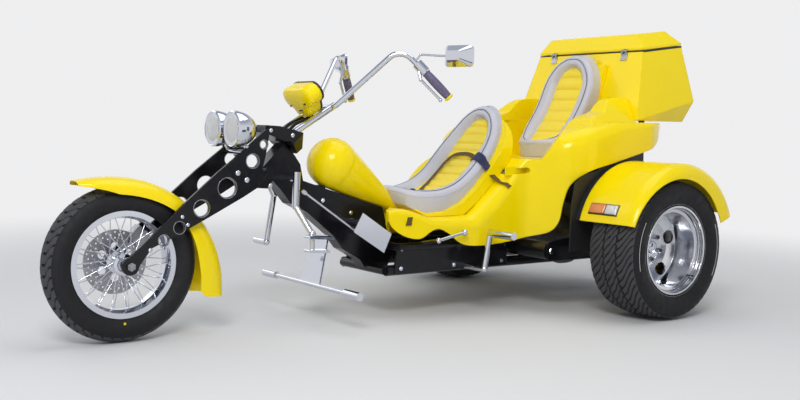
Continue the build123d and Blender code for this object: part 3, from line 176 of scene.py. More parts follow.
NODE_LOOKS = (
    (yellow, "instrument_pod front_fender fuel_tank rear_fenders rider_seat_shell passenger_seat_shell"
             " luggage_box box_lid body_tub"),
    (black, "fork_plates steering_yokes frame trailing_arms"),
    (chrome, "front_rim handlebar risers bar_controls mirrors headlamps muffler foot_pedals footrests"
             " gear_linkage"),
    (steel, "front_brake_disc front_axle brake_caliper suspension_struts box_hinges lid_hinges"),
    (alloy, "rear_wheel_left rear_wheel_right"),
    (cast, "rear_axle engine_block"),
    (panel, "wheel_houses fan_housing"),
    (rubber, "front_tyre rear_tyre_left rear_tyre_right"),
    (grip, "hand_grips"),
    (clear, "headlamp_lenses"),
    (amber, "fender_lamps"),
    (grey_vinyl, "rider_seat_bolster passenger_seat_bolster"),
    (yellow_vinyl, "rider_seat_panel passenger_seat_panel"),
)
for look, names in NODE_LOOKS:
    for name in names.split():
        for mat_slot in nodes[name].material_slots:
            mat_slot.material = look


# Shapes: each is a list of points and a list of faces

def piece(name, body, shape, look, smooth=40.0):
    """A mesh that rides on a body, smooth but for edges sharper than the angle."""
    verts, faces = shape
    mesh = bpy.data.meshes.new(name)
    mesh.from_pydata([tuple(v) for v in verts], [], faces)
    mesh.validate()
    mesh.update()
    if smooth > 0:
        mesh.shade_smooth()
        mesh.set_sharp_from_angle(angle=radians(smooth))
    mesh.materials.append(look)
    obj = bpy.data.objects.new(name, mesh)
    bpy.context.scene.collection.objects.link(obj)
    if body:
        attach(obj, body)
    return obj


def grid(rows, columns, closed_row=False, closed_column=False):
    """Quads of a grid of points numbered row by row."""
    faces = []
    for i in range(rows if closed_row else rows - 1):
        for j in range(columns if closed_column else columns - 1):
            a, b = i * columns + j, i * columns + (j + 1) % columns
            c, d = ((i + 1) % rows) * columns + (j + 1) % columns, ((i + 1) % rows) * columns + j
            faces.append((a, b, c, d))
    return faces


def capped(rings):
    """Rings of as many points each, joined up and closed by a face at both ends."""
    verts = [v for ring in rings for v in ring]
    n = len(rings[0])
    faces = grid(len(rings), n, closed_column=True)
    return verts, faces + [tuple(range(n))[::-1], tuple(range(len(verts) - n, len(verts)))]


def border(rows, columns):
    """The numbers of the points round a grid, in order."""
    last = rows * columns - 1
    return (list(range(columns)) + [columns * k + columns - 1 for k in range(1, rows)]
            + list(range(last - 1, last - columns, -1)) + [columns * k for k in range(rows - 2, 0, -1)])


def slab(top, under, rows, columns):
    """Two grids of points closed by a wall round their edges."""
    count = len(top)
    faces = grid(rows, columns)
    faces += [tuple(i + count for i in face[::-1]) for face in faces]
    ring = border(rows, columns)
    faces += [(a + count, b + count, b, a) for a, b in zip(ring, ring[1:] + ring[:1])]
    return top + under, faces


def turned(origin, axis, profile, sides=48):
    """A profile of (along, radius) in millimetres turned about an axis."""
    axis = Vector(axis).normalized()
    u, v = square_to(axis)
    rings = []
    for along, radius in profile:
        rings.append([origin + axis * along * MM + (u * cos(a) + v * sin(a)) * radius * MM
                      for a in [tau * k / sides for k in range(sides)]])
    return capped(rings)


def square_to(axis):
    """Two directions square to an axis."""
    other = UPWARDS if abs(axis.z) < 0.9 else SIDEWAYS
    u = axis.cross(other).normalized()
    return u, axis.cross(u)


def tube(points, radius, sides=12):
    """A round tube through points, with its ends closed."""
    rings = []
    across = None
    for i, p in enumerate(points):
        axis = (points[min(i + 1, len(points) - 1)] - points[max(i - 1, 0)]).normalized()
        if across is None:
            across = square_to(axis)[0]
        across = (across - axis * across.dot(axis)).normalized()
        other = axis.cross(across)
        rings.append([p + (across * cos(a) + other * sin(a)) * radius * MM
                      for a in [tau * k / sides for k in range(sides)]])
    return capped(rings)


def prism(points, low, high, place):
    """A closed outline pushed from low to high. place gives a point from (a, b, height)."""
    verts, faces = capped([[place(a, b, h) for a, b in points] for h in (low, high)])
    return verts, faces[-2:] + faces[:-2]


def from_side(y, z, x):
    return at(x, y, z)


def join(*shapes):
    verts, faces = [], []
    for some_verts, some_faces in shapes:
        start = len(verts)
        verts.extend(some_verts)
        faces.extend(tuple(i + start for i in face) for face in some_faces)
    return verts, faces


def both(shape):
    """A shape and its mirror image on the right-hand side."""
    verts, faces = shape
    return join(shape, ([Vector((-v[0], v[1], v[2])) for v in verts], [tuple(f[::-1]) for f in faces]))


def moved(shape, move):
    return [v + move for v in shape[0]], shape[1]


def smooth_line(points, step, closed=False):
    """Points at even steps on a smooth line through the given ones."""
    pts = [np.array(p, float) for p in points]
    n = len(pts)
    line = []
    for i in range(n if closed else n - 1):
        p0 = pts[(i - 1) % n] if closed or i > 0 else 2 * pts[0] - pts[1]
        p1, p2 = pts[i], pts[(i + 1) % n]
        p3 = pts[(i + 2) % n] if closed or i + 2 < n else 2 * p2 - p1
        count = max(2, int(np.linalg.norm(p2 - p1) / step))
        d0, d1, d2 = [max(1e-6, np.linalg.norm(b - a) ** 0.5) for a, b in ((p0, p1), (p1, p2), (p2, p3))]
        m1 = ((p1 - p0) / d0 - (p2 - p0) / (d0 + d1) + (p2 - p1) / d1) * d1
        m2 = ((p2 - p1) / d1 - (p3 - p1) / (d1 + d2) + (p3 - p2) / d2) * d1
        for t in np.arange(count) / count:
            line.append((2 * t**3 - 3 * t**2 + 1) * p1 + (t**3 - 2 * t**2 + t) * m1
                        + (-2 * t**3 + 3 * t**2) * p2 + (t**3 - t**2) * m2)
    if not closed:
        line.append(pts[-1])
    return line


def side_line(points, step):
    return [tuple(p) for p in smooth_line(points, step)]


def dome(origin, axis, radius, height):
    """A domed bolt head."""
    steps = [(height * sin(a), radius * cos(a)) for a in np.linspace(0, pi / 2 - 0.15, 6)]
    return turned(origin, axis, [(-4, radius)] + steps, 20)


def hexagon(origin, axis, radius, height):
    """A hexagon bolt head with a washer and a chamfer."""
    washer = turned(origin, axis, [(-2, radius * 1.35), (1.5, radius * 1.35), (1.6, radius * 0.8)], 20)
    head = turned(origin, axis, [(0, radius), (height - 2, radius), (height, radius * 0.85)], 6)
    return join(washer, head)


def block(low, high, matrix):
    """A box between two corners in millimetres, placed by a matrix."""
    verts = [matrix @ (Vector((x, y, z)) * MM) for x in (low[0], high[0]) for y in (low[1], high[1])
             for z in (low[2], high[2])]
    return verts, [(0, 1, 3, 2), (4, 6, 7, 5), (0, 4, 5, 1), (2, 3, 7, 6), (0, 2, 6, 4), (1, 5, 7, 3)]


def pillow(centre, right, up, out, width, height, depth, power=8):
    """A block with a softly domed face and a flat back."""
    across = 17
    back_depth = 3
    top = []
    for v in np.linspace(-1, 1, across):
        for u in np.linspace(-1, 1, across):
            rise = (max(0, 1 - abs(u) ** power) * max(0, 1 - abs(v) ** power)) ** 0.4
            top.append(centre + (right * u * width / 2 + up * v * height / 2 + out * depth * rise) * MM)
    back = [p - out * back_depth * MM - out * max(0, (p - centre).dot(out)) for p in top]
    return slab(top, back, across, across)


# Tyres with their tread cut in

# pitch is the number of lugs round the tyre, groove the share of a lug that is cut, channel the place
# of the zigzag channel round the tyre as a share of the half crown, and lean is in lugs.
FRONT_TYRE = dict(radius=306.6, half_width=65, bead_radius=196, bead_half=43, crown_half=50, drop=21,
                  pitch=44, groove=0.24, channel=0.0, lean=1.3, slant=False)
REAR_TYRE = dict(radius=322.6, half_width=138.5, bead_radius=190.5, bead_half=112, crown_half=126, drop=15,
                 pitch=54, groove=0.26, channel=0.3, lean=4.2, slant=True)
REAR_TYRE_X = 727.5
TREAD_STEPS = 900
front_hub = at(0, 0, 307)
rear_hub = at(0, 2300, 323)


def dusted(name, hub, middle_x, sizes):
    """Tyre rubber whose crown is greyed by use, and whose grooves and walls stay dark."""
    radius, drop, crown_half = sizes["radius"], sizes["drop"], sizes["crown_half"]
    mat = rubber.copy()
    mat.name = name
    tree = mat.node_tree
    place = node(tree, "TexCoord").outputs["Object"]
    from_hub = node(tree, "VectorMath", {0: place, 1: hub}, operation="SUBTRACT").outputs["Vector"]
    parts = node(tree, "SeparateXYZ", {"Vector": from_hub}).outputs

    def maths(how, a, b=0.0):
        return node(tree, "Math", {0: a, 1: b}, operation=how).outputs["Value"]

    y_squared = maths("MULTIPLY", parts["Y"], parts["Y"])
    z_squared = maths("MULTIPLY", parts["Z"], parts["Z"])
    reach = maths("POWER", maths("ADD", y_squared, z_squared), 0.5)
    aside = maths("SUBTRACT", maths("ABSOLUTE", parts["X"]), middle_x * MM)
    fall = maths("MULTIPLY", maths("MULTIPLY", aside, aside), drop * MM / (crown_half * MM) ** 2)
    worn = node(tree, "MapRange", {"From Min": (radius - 4.5) * MM, "From Max": (radius - 2.5) * MM,
                                   "Value": maths("ADD", reach, fall)})
    on_crown = maths("LESS_THAN", maths("ABSOLUTE", aside), (crown_half + 1) * MM)
    colour = tree.nodes["Principled BSDF"].inputs["Base Color"]
    dust = node(tree, "Mix", {0: maths("MULTIPLY", worn.outputs["Result"], on_crown),
                              6: colour.links[0].from_socket, 7: (0.062, 0.062, 0.068, 1)},
                data_type="RGBA")
    feed(tree, colour, dust.outputs[2])
    return mat


def arc(a, b, c, count):
    """Points on the circle through three points."""
    (x1, y1), (x2, y2), (x3, y3) = a, b, c
    q1, q2, q3 = x1**2 + y1**2, x2**2 + y2**2, x3**2 + y3**2
    d = 2 * (x1 * (y2 - y3) + x2 * (y3 - y1) + x3 * (y1 - y2))
    cx = (q1 * (y2 - y3) + q2 * (y3 - y1) + q3 * (y1 - y2)) / d
    cy = (q1 * (x3 - x2) + q2 * (x1 - x3) + q3 * (x2 - x1)) / d
    r = hypot(x1 - cx, y1 - cy)
    t1, t2, t3 = [atan2(y - cy, x - cx) for x, y in (a, b, c)]
    while t2 > t1:
        t2 -= tau
    while t3 > t2:
        t3 -= tau
    return [(cx + r * cos(t), cy + r * sin(t)) for t in np.linspace(t1, t3, count)]


def tyre(radius, half_width, bead_radius, bead_half, crown_half, drop, pitch, groove, channel, lean,
         slant):
    """A tyre whose tread is pressed into its crown, and whose walls carry thin ribs."""
    shoulder = radius - drop
    bulge = bead_radius + 0.52 * (radius - bead_radius)
    wall = arc((-bead_half, bead_radius + 14), (-half_width, bulge), (-crown_half, shoulder), 22)
    crown = arc((-crown_half, shoulder), (0, radius), (crown_half, shoulder), 45)[1:-1]
    section = [(-bead_half, bead_radius + 2)] + wall + crown
    section += [(-x, r) for x, r in wall[::-1]] + [(bead_half, bead_radius + 2)]

    def tread_depth(x, turn):
        across = abs(x) / crown_half
        lug = turn * pitch / tau
        bend = lean * (x / crown_half if slant else across) + 0.18 * sin(9 * across)
        cut = (lug + bend) % 1 < groove and (across > 0.14 or slant)
        in_channel = abs(across - channel + 0.035 * abs(lug % 1 - 0.5)) < 0.035
        if cut or in_channel:
            return 6.5 if across < 0.93 else 4.0
        return 0.0

    def wall_depth(r):
        out = (r - bead_radius) / (radius - bead_radius)
        return -0.8 if 0.2 < out < 0.24 or 0.74 < out < 0.77 else 0.0

    verts = []
    for k in range(TREAD_STEPS):
        turn = tau * k / TREAD_STEPS
        for x, r in section:
            on_crown = abs(x) <= crown_half + 1 and r > shoulder - 1
            s = (r - (tread_depth(x, turn) if on_crown else wall_depth(r))) * MM
            verts.append(Vector((x * MM, s * cos(turn), s * sin(turn))))
    faces = grid(TREAD_STEPS, len(section), closed_row=True)
    n = len(section)
    for k in range(TREAD_STEPS):
        following = (k + 1) % TREAD_STEPS
        faces.append((k * n + n - 1, k * n, following * n, following * n + n - 1))
    return verts, faces


obj = piece("front_tyre_tread", "front_wheel", moved(tyre(**FRONT_TYRE), front_hub),
            dusted("front_tread_rubber", front_hub, 0.0, FRONT_TYRE), 32)
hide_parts("front_tyre")
rear_rubber = dusted("rear_tread_rubber", rear_hub, REAR_TYRE_X, REAR_TYRE)
rear_tread = tyre(**REAR_TYRE)
for name, sign in (("left", 1), ("right", -1)):
    obj = piece(f"rear_tyre_{name}_tread", f"rear_wheel_{name}",
                moved(rear_tread, rear_hub + SIDEWAYS * sign * REAR_TYRE_X * MM), rear_rubber, 32)
    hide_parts(f"rear_tyre_{name}")


def wall_reach(radius):
    """How far the rear tyre's wall stands out from its middle plane at a radius."""
    section = [v for v in rear_tread[0] if v.z == 0 and v.x <= 0]
    return 0.4 - min(section, key=lambda v: abs(v.y / MM - radius)).x / MM


def wall_line(hub, x, radius, width, first, last):
    """A thin painted line round a tyre's wall, between two angles."""
    count = max(8, int(abs(last - first) / 3))
    verts = []
    for a in np.linspace(radians(first), radians(last), count):
        for r in (radius - width / 2, radius + width / 2):
            verts.append(hub + Vector((x * MM, r * MM * cos(a), r * MM * sin(a))))
    return verts, grid(count, 2)


# Body tub

# Distance behind the front axle, half width, top, corner radius
TUB = np.array([(1122, 226, 493, 18), (1189, 236, 499, 25), (1362, 268, 457, 40), (1549, 288, 461, 60),
                (1634, 296, 521, 72), (1748, 304, 627, 78), (1800, 307, 680, 50), (1850, 319, 735, 34),
                (1885, 352, 767, 46), (1925, 408, 800, 60), (1962, 458, 828, 70), (2000, 488, 848, 76),
                (2055, 512, 870, 78), (2117, 526, 885, 74), (2308, 530, 905, 45), (2467, 530, 905, 25),
                (2567, 492, 905, 15), (2652, 436, 905, 10)], float)
TUB_BOTTOM = [(2652, 884), (2622, 848), (2580, 815), (2522, 789), (2451, 767), (2235, 713), (2065, 669),
              (1986, 610), (1961, 523), (1949, 432), (1925, 383), (1850, 352), (1711, 330), (1558, 324),
              (1492, 337), (1421, 386), (1368, 408), (1335, 399), (1280, 366), (1200, 380), (1135, 426),
              (1120, 463)]
BELOW_TUB = [(1000, 470), (1000, 100), (2700, 100), (2700, 850)]
TUB_NOTCH = [(264, 1175), (246, 1130), (225, 1118), (196, 1127), (150, 1177), (60, 1244), (0, 1289)]
TUB_WALL = 5.0
WELL_HALF, WELL_FRONT, WELL_BACK, WELL_FLOOR = 290, 1800, 2465, 720
EAR_TOP = [(2117, 872), (2177, 918), (2230, 936), (2290, 956), (2325, 990), (2360, 1014), (2410, 1026),
           (2514, 1029)]
EAR_FOOT = [(2477, 903), (2308, 901)]
# The hand slot in the tub's side: its middle, half length, half rise and end radius
SLOT_Y, SLOT_Z, SLOT_HALF, SLOT_RISE, SLOT_RADIUS = 1808, 664, 42, 3, 13


def eased(table, y):
    """Each column of a table at y, on a smooth line that doesn't overshoot."""
    ys = table[:, 0]
    i = int(np.clip(np.searchsorted(ys, y) - 1, 0, len(ys) - 2))
    h = ys[i + 1] - ys[i]
    t = (y - ys[i]) / h
    out = []
    for col in table[:, 1:].T:
        d = np.diff(col) / np.diff(ys)
        m = np.zeros(len(ys))
        m[0], m[-1] = d[0], d[-1]
        for k in range(1, len(ys) - 1):
            if d[k - 1] * d[k] > 0:
                m[k] = 2 * d[k - 1] * d[k] / (d[k - 1] + d[k])
        out.append((2 * t**3 - 3 * t**2 + 1) * col[i] + (t**3 - 2 * t**2 + t) * h * m[i]
                   + (-2 * t**3 + 3 * t**2) * col[i + 1] + (t**3 - t**2) * h * m[i + 1])
    return out


def tub_form(inset):
    """The tub's closed outer form, or its inside."""
    rings = []
    for y in np.linspace(TUB[0][0] + inset, TUB[-1][0] - inset, 120):
        half, top, corner = eased(TUB, y)
        w, t, r = half - inset, top - inset, corner - inset
        right = [(w, 150)] + [(w, z) for z in np.linspace(300, t - r, 14)]
        right += [(w - r + r * cos(a), t - r + r * sin(a)) for a in np.linspace(0, pi / 2, 9)[1:]]
        right += [(x, t) for x in np.linspace(w - r, 0, 12)[1:-1]]
        outline = right + [(0, t)] + [(-x, z) for x, z in right[::-1]]
        rings.append([at(x, y, z) for x, z in outline])
    return capped(rings)


def edit_mesh(obj, change):
    bm = bmesh.new()
    bm.from_mesh(obj.data)
    change(bm)
    bm.to_mesh(obj.data)
    bm.free()


def bake(obj):
    """Applies an object's modifiers to its mesh."""
    bpy.context.view_layer.update()
    graph = bpy.context.evaluated_depsgraph_get()
    mesh = bpy.data.meshes.new_from_object(obj.evaluated_get(graph))
    obj.modifiers.clear()
    obj.data = mesh


def scratch(shape):
    """A closed solid to cut or join with, facing outwards."""
    obj = piece("scratch", "", shape, yellow, 0)
    edit_mesh(obj, lambda bm: bmesh.ops.recalc_face_normals(bm, faces=bm.faces))
    return obj


def combine(target, other, how):
    """Cuts, joins or intersects the target with another solid, which is then gone."""
    step = target.modifiers.new("step", "BOOLEAN")
    step.operation = how
    step.solver = "EXACT"
    step.object = other
    bake(target)
    bpy.data.objects.remove(other)


def well(grow):
    """The passenger's footwell and seat space, seen from above."""
    half, front, back, radius = WELL_HALF + grow, WELL_FRONT - grow, WELL_BACK + grow, 60 + grow
    points = []
    for cx, cy, start in ((half - radius, back - radius, 0), (radius - half, back - radius, 90),
                          (radius - half, front + radius, 180), (half - radius, front + radius, 270)):
        points += [(cx + radius * cos(radians(start + a)), cy + radius * sin(radians(start + a)))
                   for a in range(0, 91, 15)]
    return points


def haunch_wedge(inset, sign):
    """What is cut from above the footwell's sides, in front of the haunch."""
    low, high, outer = at(sign * 300, 1958, 721), at(sign * 300, 2147, 908), at(sign * 430, 1947, 828)
    up = (outer - low).cross(high - low).normalized() * sign
    corners = [(-sign, 1760), (sign * 430, 1760), (sign * 430, 2190), (-sign, 2190)]
    wedge = scratch(prism(corners, 720 - inset, 1400, at))

    def slice_off(bm):
        cut = bmesh.ops.bisect_plane(bm, geom=bm.verts[:] + bm.edges[:] + bm.faces[:],
                                     plane_co=low - up * inset * MM, plane_no=up, clear_inner=True)
        bmesh.ops.holes_fill(bm, edges=[e for e in cut["geom_cut"] if isinstance(e, bmesh.types.BMEdge)])
        bmesh.ops.recalc_face_normals(bm, faces=bm.faces)

    edit_mesh(wedge, slice_off)
    return wedge


def tub_body(inset):
    """The tub's form with the tank's notch and the wedges in front of the haunches cut."""
    form = scratch(tub_form(inset))
    half = side_line(TUB_NOTCH, 12)
    notch = half + [(-x, y) for x, y in half[::-1][1:]] + [(-270, 900), (270, 900)]
    if inset > 0:
        notch = [(x, y + inset * 1.3) for x, y in notch]
    combine(form, scratch(prism(notch, 140, 1200, at)), "DIFFERENCE")
    for sign in (1, -1):
        combine(form, haunch_wedge(inset, sign), "DIFFERENCE")
    return form


def ear(sign):
    """The raised wall beside the passenger's seat, leaning in as it rises."""
    foot_x, top_x, foot_z, top_z = 432, 335, 905, 1028
    line = side_line(EAR_TOP, 12) + EAR_FOOT
    outer = [foot_x - (z - foot_z) * (foot_x - top_x) / (top_z - foot_z) for _, z in line]
    verts = [at(sign * WELL_HALF, y, z) for y, z in line]
    verts += [at(sign * x, y, z) for x, (y, z) in zip(outer, line)]
    n = len(line)
    faces = [tuple(range(n)), tuple(range(n, 2 * n))[::-1]] + grid(2, n, closed_column=True)
    obj = scratch((verts, faces))
    soft = obj.modifiers.new("soft", "BEVEL")
    soft.width = 0.014
    soft.segments = 5
    soft.limit_method = "ANGLE"
    soft.angle_limit = radians(50)
    bake(obj)
    return obj


tub = tub_body(0)
lining = scratch(prism(well(TUB_WALL), WELL_FLOOR - TUB_WALL, 1100, at))
combine(lining, tub_body(0), "INTERSECT")
under = side_line(TUB_BOTTOM, 14) + BELOW_TUB
combine(tub, scratch(prism(under, -600, 600, from_side)), "DIFFERENCE")
combine(tub, tub_body(TUB_WALL), "DIFFERENCE")
combine(tub, lining, "UNION")
combine(tub, scratch(prism(well(0), WELL_FLOOR, 1120, at)), "DIFFERENCE")
for sign in (1, -1):
    combine(tub, ear(sign), "UNION")
hand_slot = [(SLOT_Y + SLOT_HALF * s + SLOT_RADIUS * cos(a), SLOT_Z + SLOT_RISE * s + SLOT_RADIUS * sin(a))
             for s, start in ((1, -90), (-1, 90)) for a in [radians(start + k) for k in range(0, 181, 20)]]
combine(tub, scratch(prism(hand_slot, -600, 600, from_side)), "DIFFERENCE")
tank = scratch(([v.co.copy() for v in nodes["fuel_tank"].data.vertices],
                [tuple(p.vertices) for p in nodes["fuel_tank"].data.polygons]))
edit_mesh(tank, lambda bm: bmesh.ops.remove_doubles(bm, verts=bm.verts, dist=1e-5))
combine(tub, tank, "DIFFERENCE")
tub.name = "tub_skin"
tub.data.name = "tub_skin"
tub.data.materials.clear()
tub.data.materials.append(yellow)
tub.data.shade_smooth()
tub.data.set_sharp_from_angle(angle=radians(28))
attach(tub, "chassis")
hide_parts("body_tub")


# Seats

# The bolster's edge is rounded over a width and by a drop, it crowns inside that, and its piping
# runs in a seam at a distance from the edge.
EDGE_ROUND, EDGE_DROP, CROWN, SEAM_IN = 34.0, 30.0, 9.0, 27.0
SEAM_WIDTH, SEAM_DEPTH = 5, 3.5
PIPING_RADIUS = 2.0
PAD_DEPTH, RIB_HEIGHT = 42, 13


def bulged(count):
    """Places from -1 to 1, closer together towards the ends."""
    return np.sin(np.linspace(-pi / 2, pi / 2, count))


def seat(name, top, under, outer, centre, sink, ribs):
    """A bolster round a ribbed panel, raised from the seat's own surface line.

    top and under are side lines from the front up to the back. outer and centre give the two
    outlines: half width, (middle of the round nose, its length), (middle of the round top, rise).
    """
    line = np.array(smooth_line(top, 8))
    low = np.array(smooth_line(under, 8))
    length = np.concatenate([[0], np.cumsum(np.linalg.norm(np.diff(line, axis=0), axis=1))])

    def along_line(s):
        return np.interp(s, length, line[:, 0]), np.interp(s, length, line[:, 1])

    def width(outline, y, z):
        half, (nose_y, nose), (crest_z, rise) = outline
        w = half
        if y < nose_y:
            w = min(w, half * sqrt(max(0, 1 - ((nose_y - y) / nose) ** 2)))
        if z > crest_z:
            w = min(w, half * sqrt(max(0, 1 - ((z - crest_z) / rise) ** 2)))
        return w

    wide = [s for s in np.linspace(0, length[-1], 4000) if width(outer, *along_line(s)) > 2]
    s_all = wide[0] + (wide[-1] - wide[0]) * (1 + bulged(170)) / 2
    ys, zs = along_line(s_all)
    dy, dz = np.gradient(ys, s_all), np.gradient(zs, s_all)
    ny, nz = -dz / np.hypot(dy, dz), dy / np.hypot(dy, dz)
    outer_w = np.array([max(3.0, width(outer, y, z)) for y, z in zip(ys, zs)])
    inner_w = np.array([width(centre, y, z) for y, z in zip(ys, zs)])
    inside = np.where(inner_w > 1)[0]
    s_lo, s_hi = s_all[inside[0]], s_all[inside[-1]]
    ends = [(s_all[i], w) for i in (0, -1) for w in np.linspace(-outer_w[i], outer_w[i], 9)]
    edge = np.array([(s, w * sign) for sign in (1, -1) for s, w in zip(s_all, outer_w)] + ends)
    rim = np.array([(s_all[i], inner_w[i] * sign) for sign in (1, -1) for i in inside])

    def near(points, s, x):
        return float(np.sqrt(((points - (s, x)) ** 2).sum(axis=1).min()))

    def height(i, s, x):
        """How far the bolster stands above the seat's line."""
        out, d_in = near(edge, s, x), near(rim, s, x)
        h = -EDGE_DROP * (1 - sqrt(max(0, 1 - (1 - min(1, out / EDGE_ROUND)) ** 2)))
        if inner_w[i] > 1 and abs(x) < inner_w[i]:
            return h - 30 * min(1, d_in / 10)
        return (h + CROWN * (1 - exp(-d_in / 22)) - 8 * exp(-(d_in / 7) ** 2)
                - SEAM_DEPTH * exp(-((out - SEAM_IN) / SEAM_WIDTH) ** 2))

    def raised(i, x, h):
        return x, ys[i] + ny[i] * h, zs[i] + nz[i] * h

    columns = bulged(75)
    rows, n = len(s_all), len(columns)
    verts = [at(*raised(i, u * outer_w[i], height(i, s, u * outer_w[i])))
             for i, s in enumerate(s_all) for u in columns]
    faces = grid(rows, n)
    # The side wall follows the under line from the rounded edge
    ring = [0] + border(rows, n)[:0:-1]
    start = len(verts)
    low_t = np.linspace(0, 1, len(low))
    for k in ring:
        share = s_all[k // n] / length[-1]
        y, z = np.interp(share, low_t, low[:, 0]), np.interp(share, low_t, low[:, 1])
        verts.append(at(verts[k][0] / MM * 0.97, y, z))
    m = len(ring)
    faces += [(ring[j], start + j, start + (j + 1) % m, ring[(j + 1) % m]) for j in range(m)]
    foot = {k: start + j for j, k in enumerate(ring)}
    faces += [tuple(foot[j] for j in range(n)), tuple(foot[(rows - 1) * n + j] for j in range(n))[::-1]]
    faces += [(foot[i * n], foot[i * n + n - 1], foot[i * n + 2 * n - 1], foot[i * n + n])
              for i in range(rows - 1)]
    pad = piece(f"{name}_bolster", "chassis", (verts, faces), grey_vinyl, 60)
    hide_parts(f"{name}_seat_bolster")

    # The panel: a closed pad with sewn channels across it
    pad_rows, pad_columns = np.linspace(s_lo + 2, s_hi - 2, 150), bulged(33)
    face, back = [], []
    for s in pad_rows:
        y, z, a, b = [np.interp(s, s_all, values) for values in (ys, zs, ny, nz)]
        w = max(2.0, float(np.interp(s, s_all, inner_w)) + 1.5)
        rib = abs(sin(pi * ribs * (s - s_lo) / (s_hi - s_lo))) ** 0.5
        for x in pad_columns * w:
            d = near(rim, s, x)
            h = -sink + RIB_HEIGHT * (1 - exp(-d / 16)) * rib - 6 * exp(-d / 6)
            face.append(at(x, y + a * h, z + b * h))
            back.append(at(x, y - a * PAD_DEPTH, z - b * PAD_DEPTH))
    panel_pad = piece(f"{name}_panel", "chassis", slab(face, back, len(pad_rows), len(pad_columns)),
                      yellow_vinyl, 70)
    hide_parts(f"{name}_seat_panel")

    # Piping in the seam that runs inside the bolster's outer edge
    path = []
    for i in range(0, rows, 2):
        tries = [x for x in np.linspace(0, outer_w[i], 160) if near(edge, s_all[i], x) >= SEAM_IN]
        if tries:
            path.append(raised(i, tries[-1], height(i, s_all[i], tries[-1]) + 1.6))
    path += [(-x, y, z) for x, y, z in path[::-1]]
    path = [at(*p) for p in smooth_line(path, 12, closed=True)]
    piece(f"{name}_piping", "chassis", tube(path + path[:1], PIPING_RADIUS, 8), piping)

    def spot(x, fraction, lift):
        """A point on the seat, from its side offset and its share of the line, and its normal."""
        i = int(np.argmin(abs(s_all - fraction * length[-1])))
        h = 9 - sink if abs(x) < inner_w[i] - 6 else height(i, s_all[i], x)
        return at(*raised(i, x, h + lift)), Vector((0, ny[i], nz[i]))

    return spot


rider_spot = seat(
    "rider",
    top=[(1260, 592), (1329, 567), (1439, 567), (1543, 600), (1628, 660), (1713, 754), (1782, 847),
         (1823, 927), (1852, 987)],
    under=[(1261, 556), (1284, 514), (1361, 471), (1453, 481), (1548, 520), (1630, 586), (1688, 651),
           (1766, 747), (1834, 842), (1869, 907), (1892, 988)],
    outer=(198, (1491, 230), (696, 280)), centre=(122, (1554, 150), (762, 164)), sink=30, ribs=12)
seat(
    "passenger",
    top=[(2155, 805), (2237, 822), (2305, 888), (2372, 985), (2420, 1091), (2450, 1191), (2477, 1259)],
    under=[(2163, 721), (2260, 728), (2347, 824), (2427, 931), (2484, 1041), (2533, 1201), (2547, 1259)],
    outer=(178, (2336, 180), (1058, 200)), centre=(104, (2287, 110), (1083, 120)), sink=26, ribs=8)

# Lap belt: along the panel, across the back, over the left bolster and down to the tub's side

# Across the seat, share of the seat's line, lift, strap width
BELT = ((96, 0.115, 5, 19), (10, 0.235, 5, 19), (-44, 0.32, 6, 19), (-68, 0.40, 8, 19),
        (-74, 0.50, 12, 19), (-68, 0.57, 13, 19), (-40, 0.625, 12, 19), (20, 0.645, 10, 19),
        (78, 0.632, 10, 22), (112, 0.618, 7, 26))
SLEEVE = ((98, 0.622, 4), (126, 0.614, 5), (158, 0.606, 5), (182, 0.6, 5))
STRAP_THICK, SLEEVE_THICK = 2.2, 3.2


def strap(marks, thick):
    """A flat strap through (point, normal, width) marks, lying square to its normals."""
    rows = [(*(c / MM for c in p), *(100 * c for c in n), w) for p, n, w in marks]
    line = smooth_line(rows, 9)
    points = [Vector(r[:3]) * MM for r in line]
    rings = []
    for i, (p, row) in enumerate(zip(points, line)):
        along = (points[min(i + 1, len(points) - 1)] - points[max(i - 1, 0)]).normalized()
        across = along.cross(Vector(row[3:6]).normalized()).normalized()
        out = across.cross(along).normalized()
        corners = ((1, 1), (1, -1), (-1, -1), (-1, 1))
        rings.append([p + (across * a * row[6] + out * b * thick) / 2 * MM for a, b in corners])
    return capped(rings)


def tub_spot(y, angle, lift):
    """A point on the tub's left shoulder, at an angle from level, and its normal."""
    half, top, corner = eased(TUB, y)
    a = radians(angle)
    reach = corner + lift
    return at(half - corner + reach * cos(a), y, top - corner + reach * sin(a)), Vector((cos(a), 0, sin(a)))


piece("lap_belt", "chassis", strap([(*rider_spot(*mark[:3]), mark[3]) for mark in BELT], STRAP_THICK),
      brown_webbing)
over = [(*rider_spot(*mark), 46) for mark in SLEEVE]
over += [(at(203, 1690, 694), Vector((1, 0, 0.3)), 44), (at(215, 1702, 671), Vector((1, 0, 0.2)), 40)]
piece("belt_sleeve", "chassis", strap(over, SLEEVE_THICK), navy_webbing)
tail = [(at(222, 1712, 646), Vector((0.8, 0, 0.6)), 30)]
tail += [(*tub_spot(y, angle, 4), 30) for y, angle in ((1738, 66), (1752, 40), (1762, 18))]
piece("belt_tails", "chassis", both(strap(tail, SLEEVE_THICK)), brown_webbing)
anchor = tub_spot(1222, 0, 2)[0]
piece("belt_anchors", "chassis", both(join(
    pillow(anchor - Vector((0, 0, 0.022)), -REARWARDS, Vector((0, 0.3, 0.95)), SIDEWAYS, 26, 40, 5),
    dome(anchor + Vector((0.004, 0.004, -0.032)), SIDEWAYS, 7, 5))), brown_webbing)

# Cups that close the hand slots in the tub's sides
cup = (prism([(1745, 640), (1874, 648), (1874, 690), (1745, 682)], 280, 290, from_side),
       prism([(1867, 646), (1874, 648), (1874, 690), (1867, 688)], 280, 322, from_side))
piece("slot_cups", "chassis", both(join(*cup)), yellow)

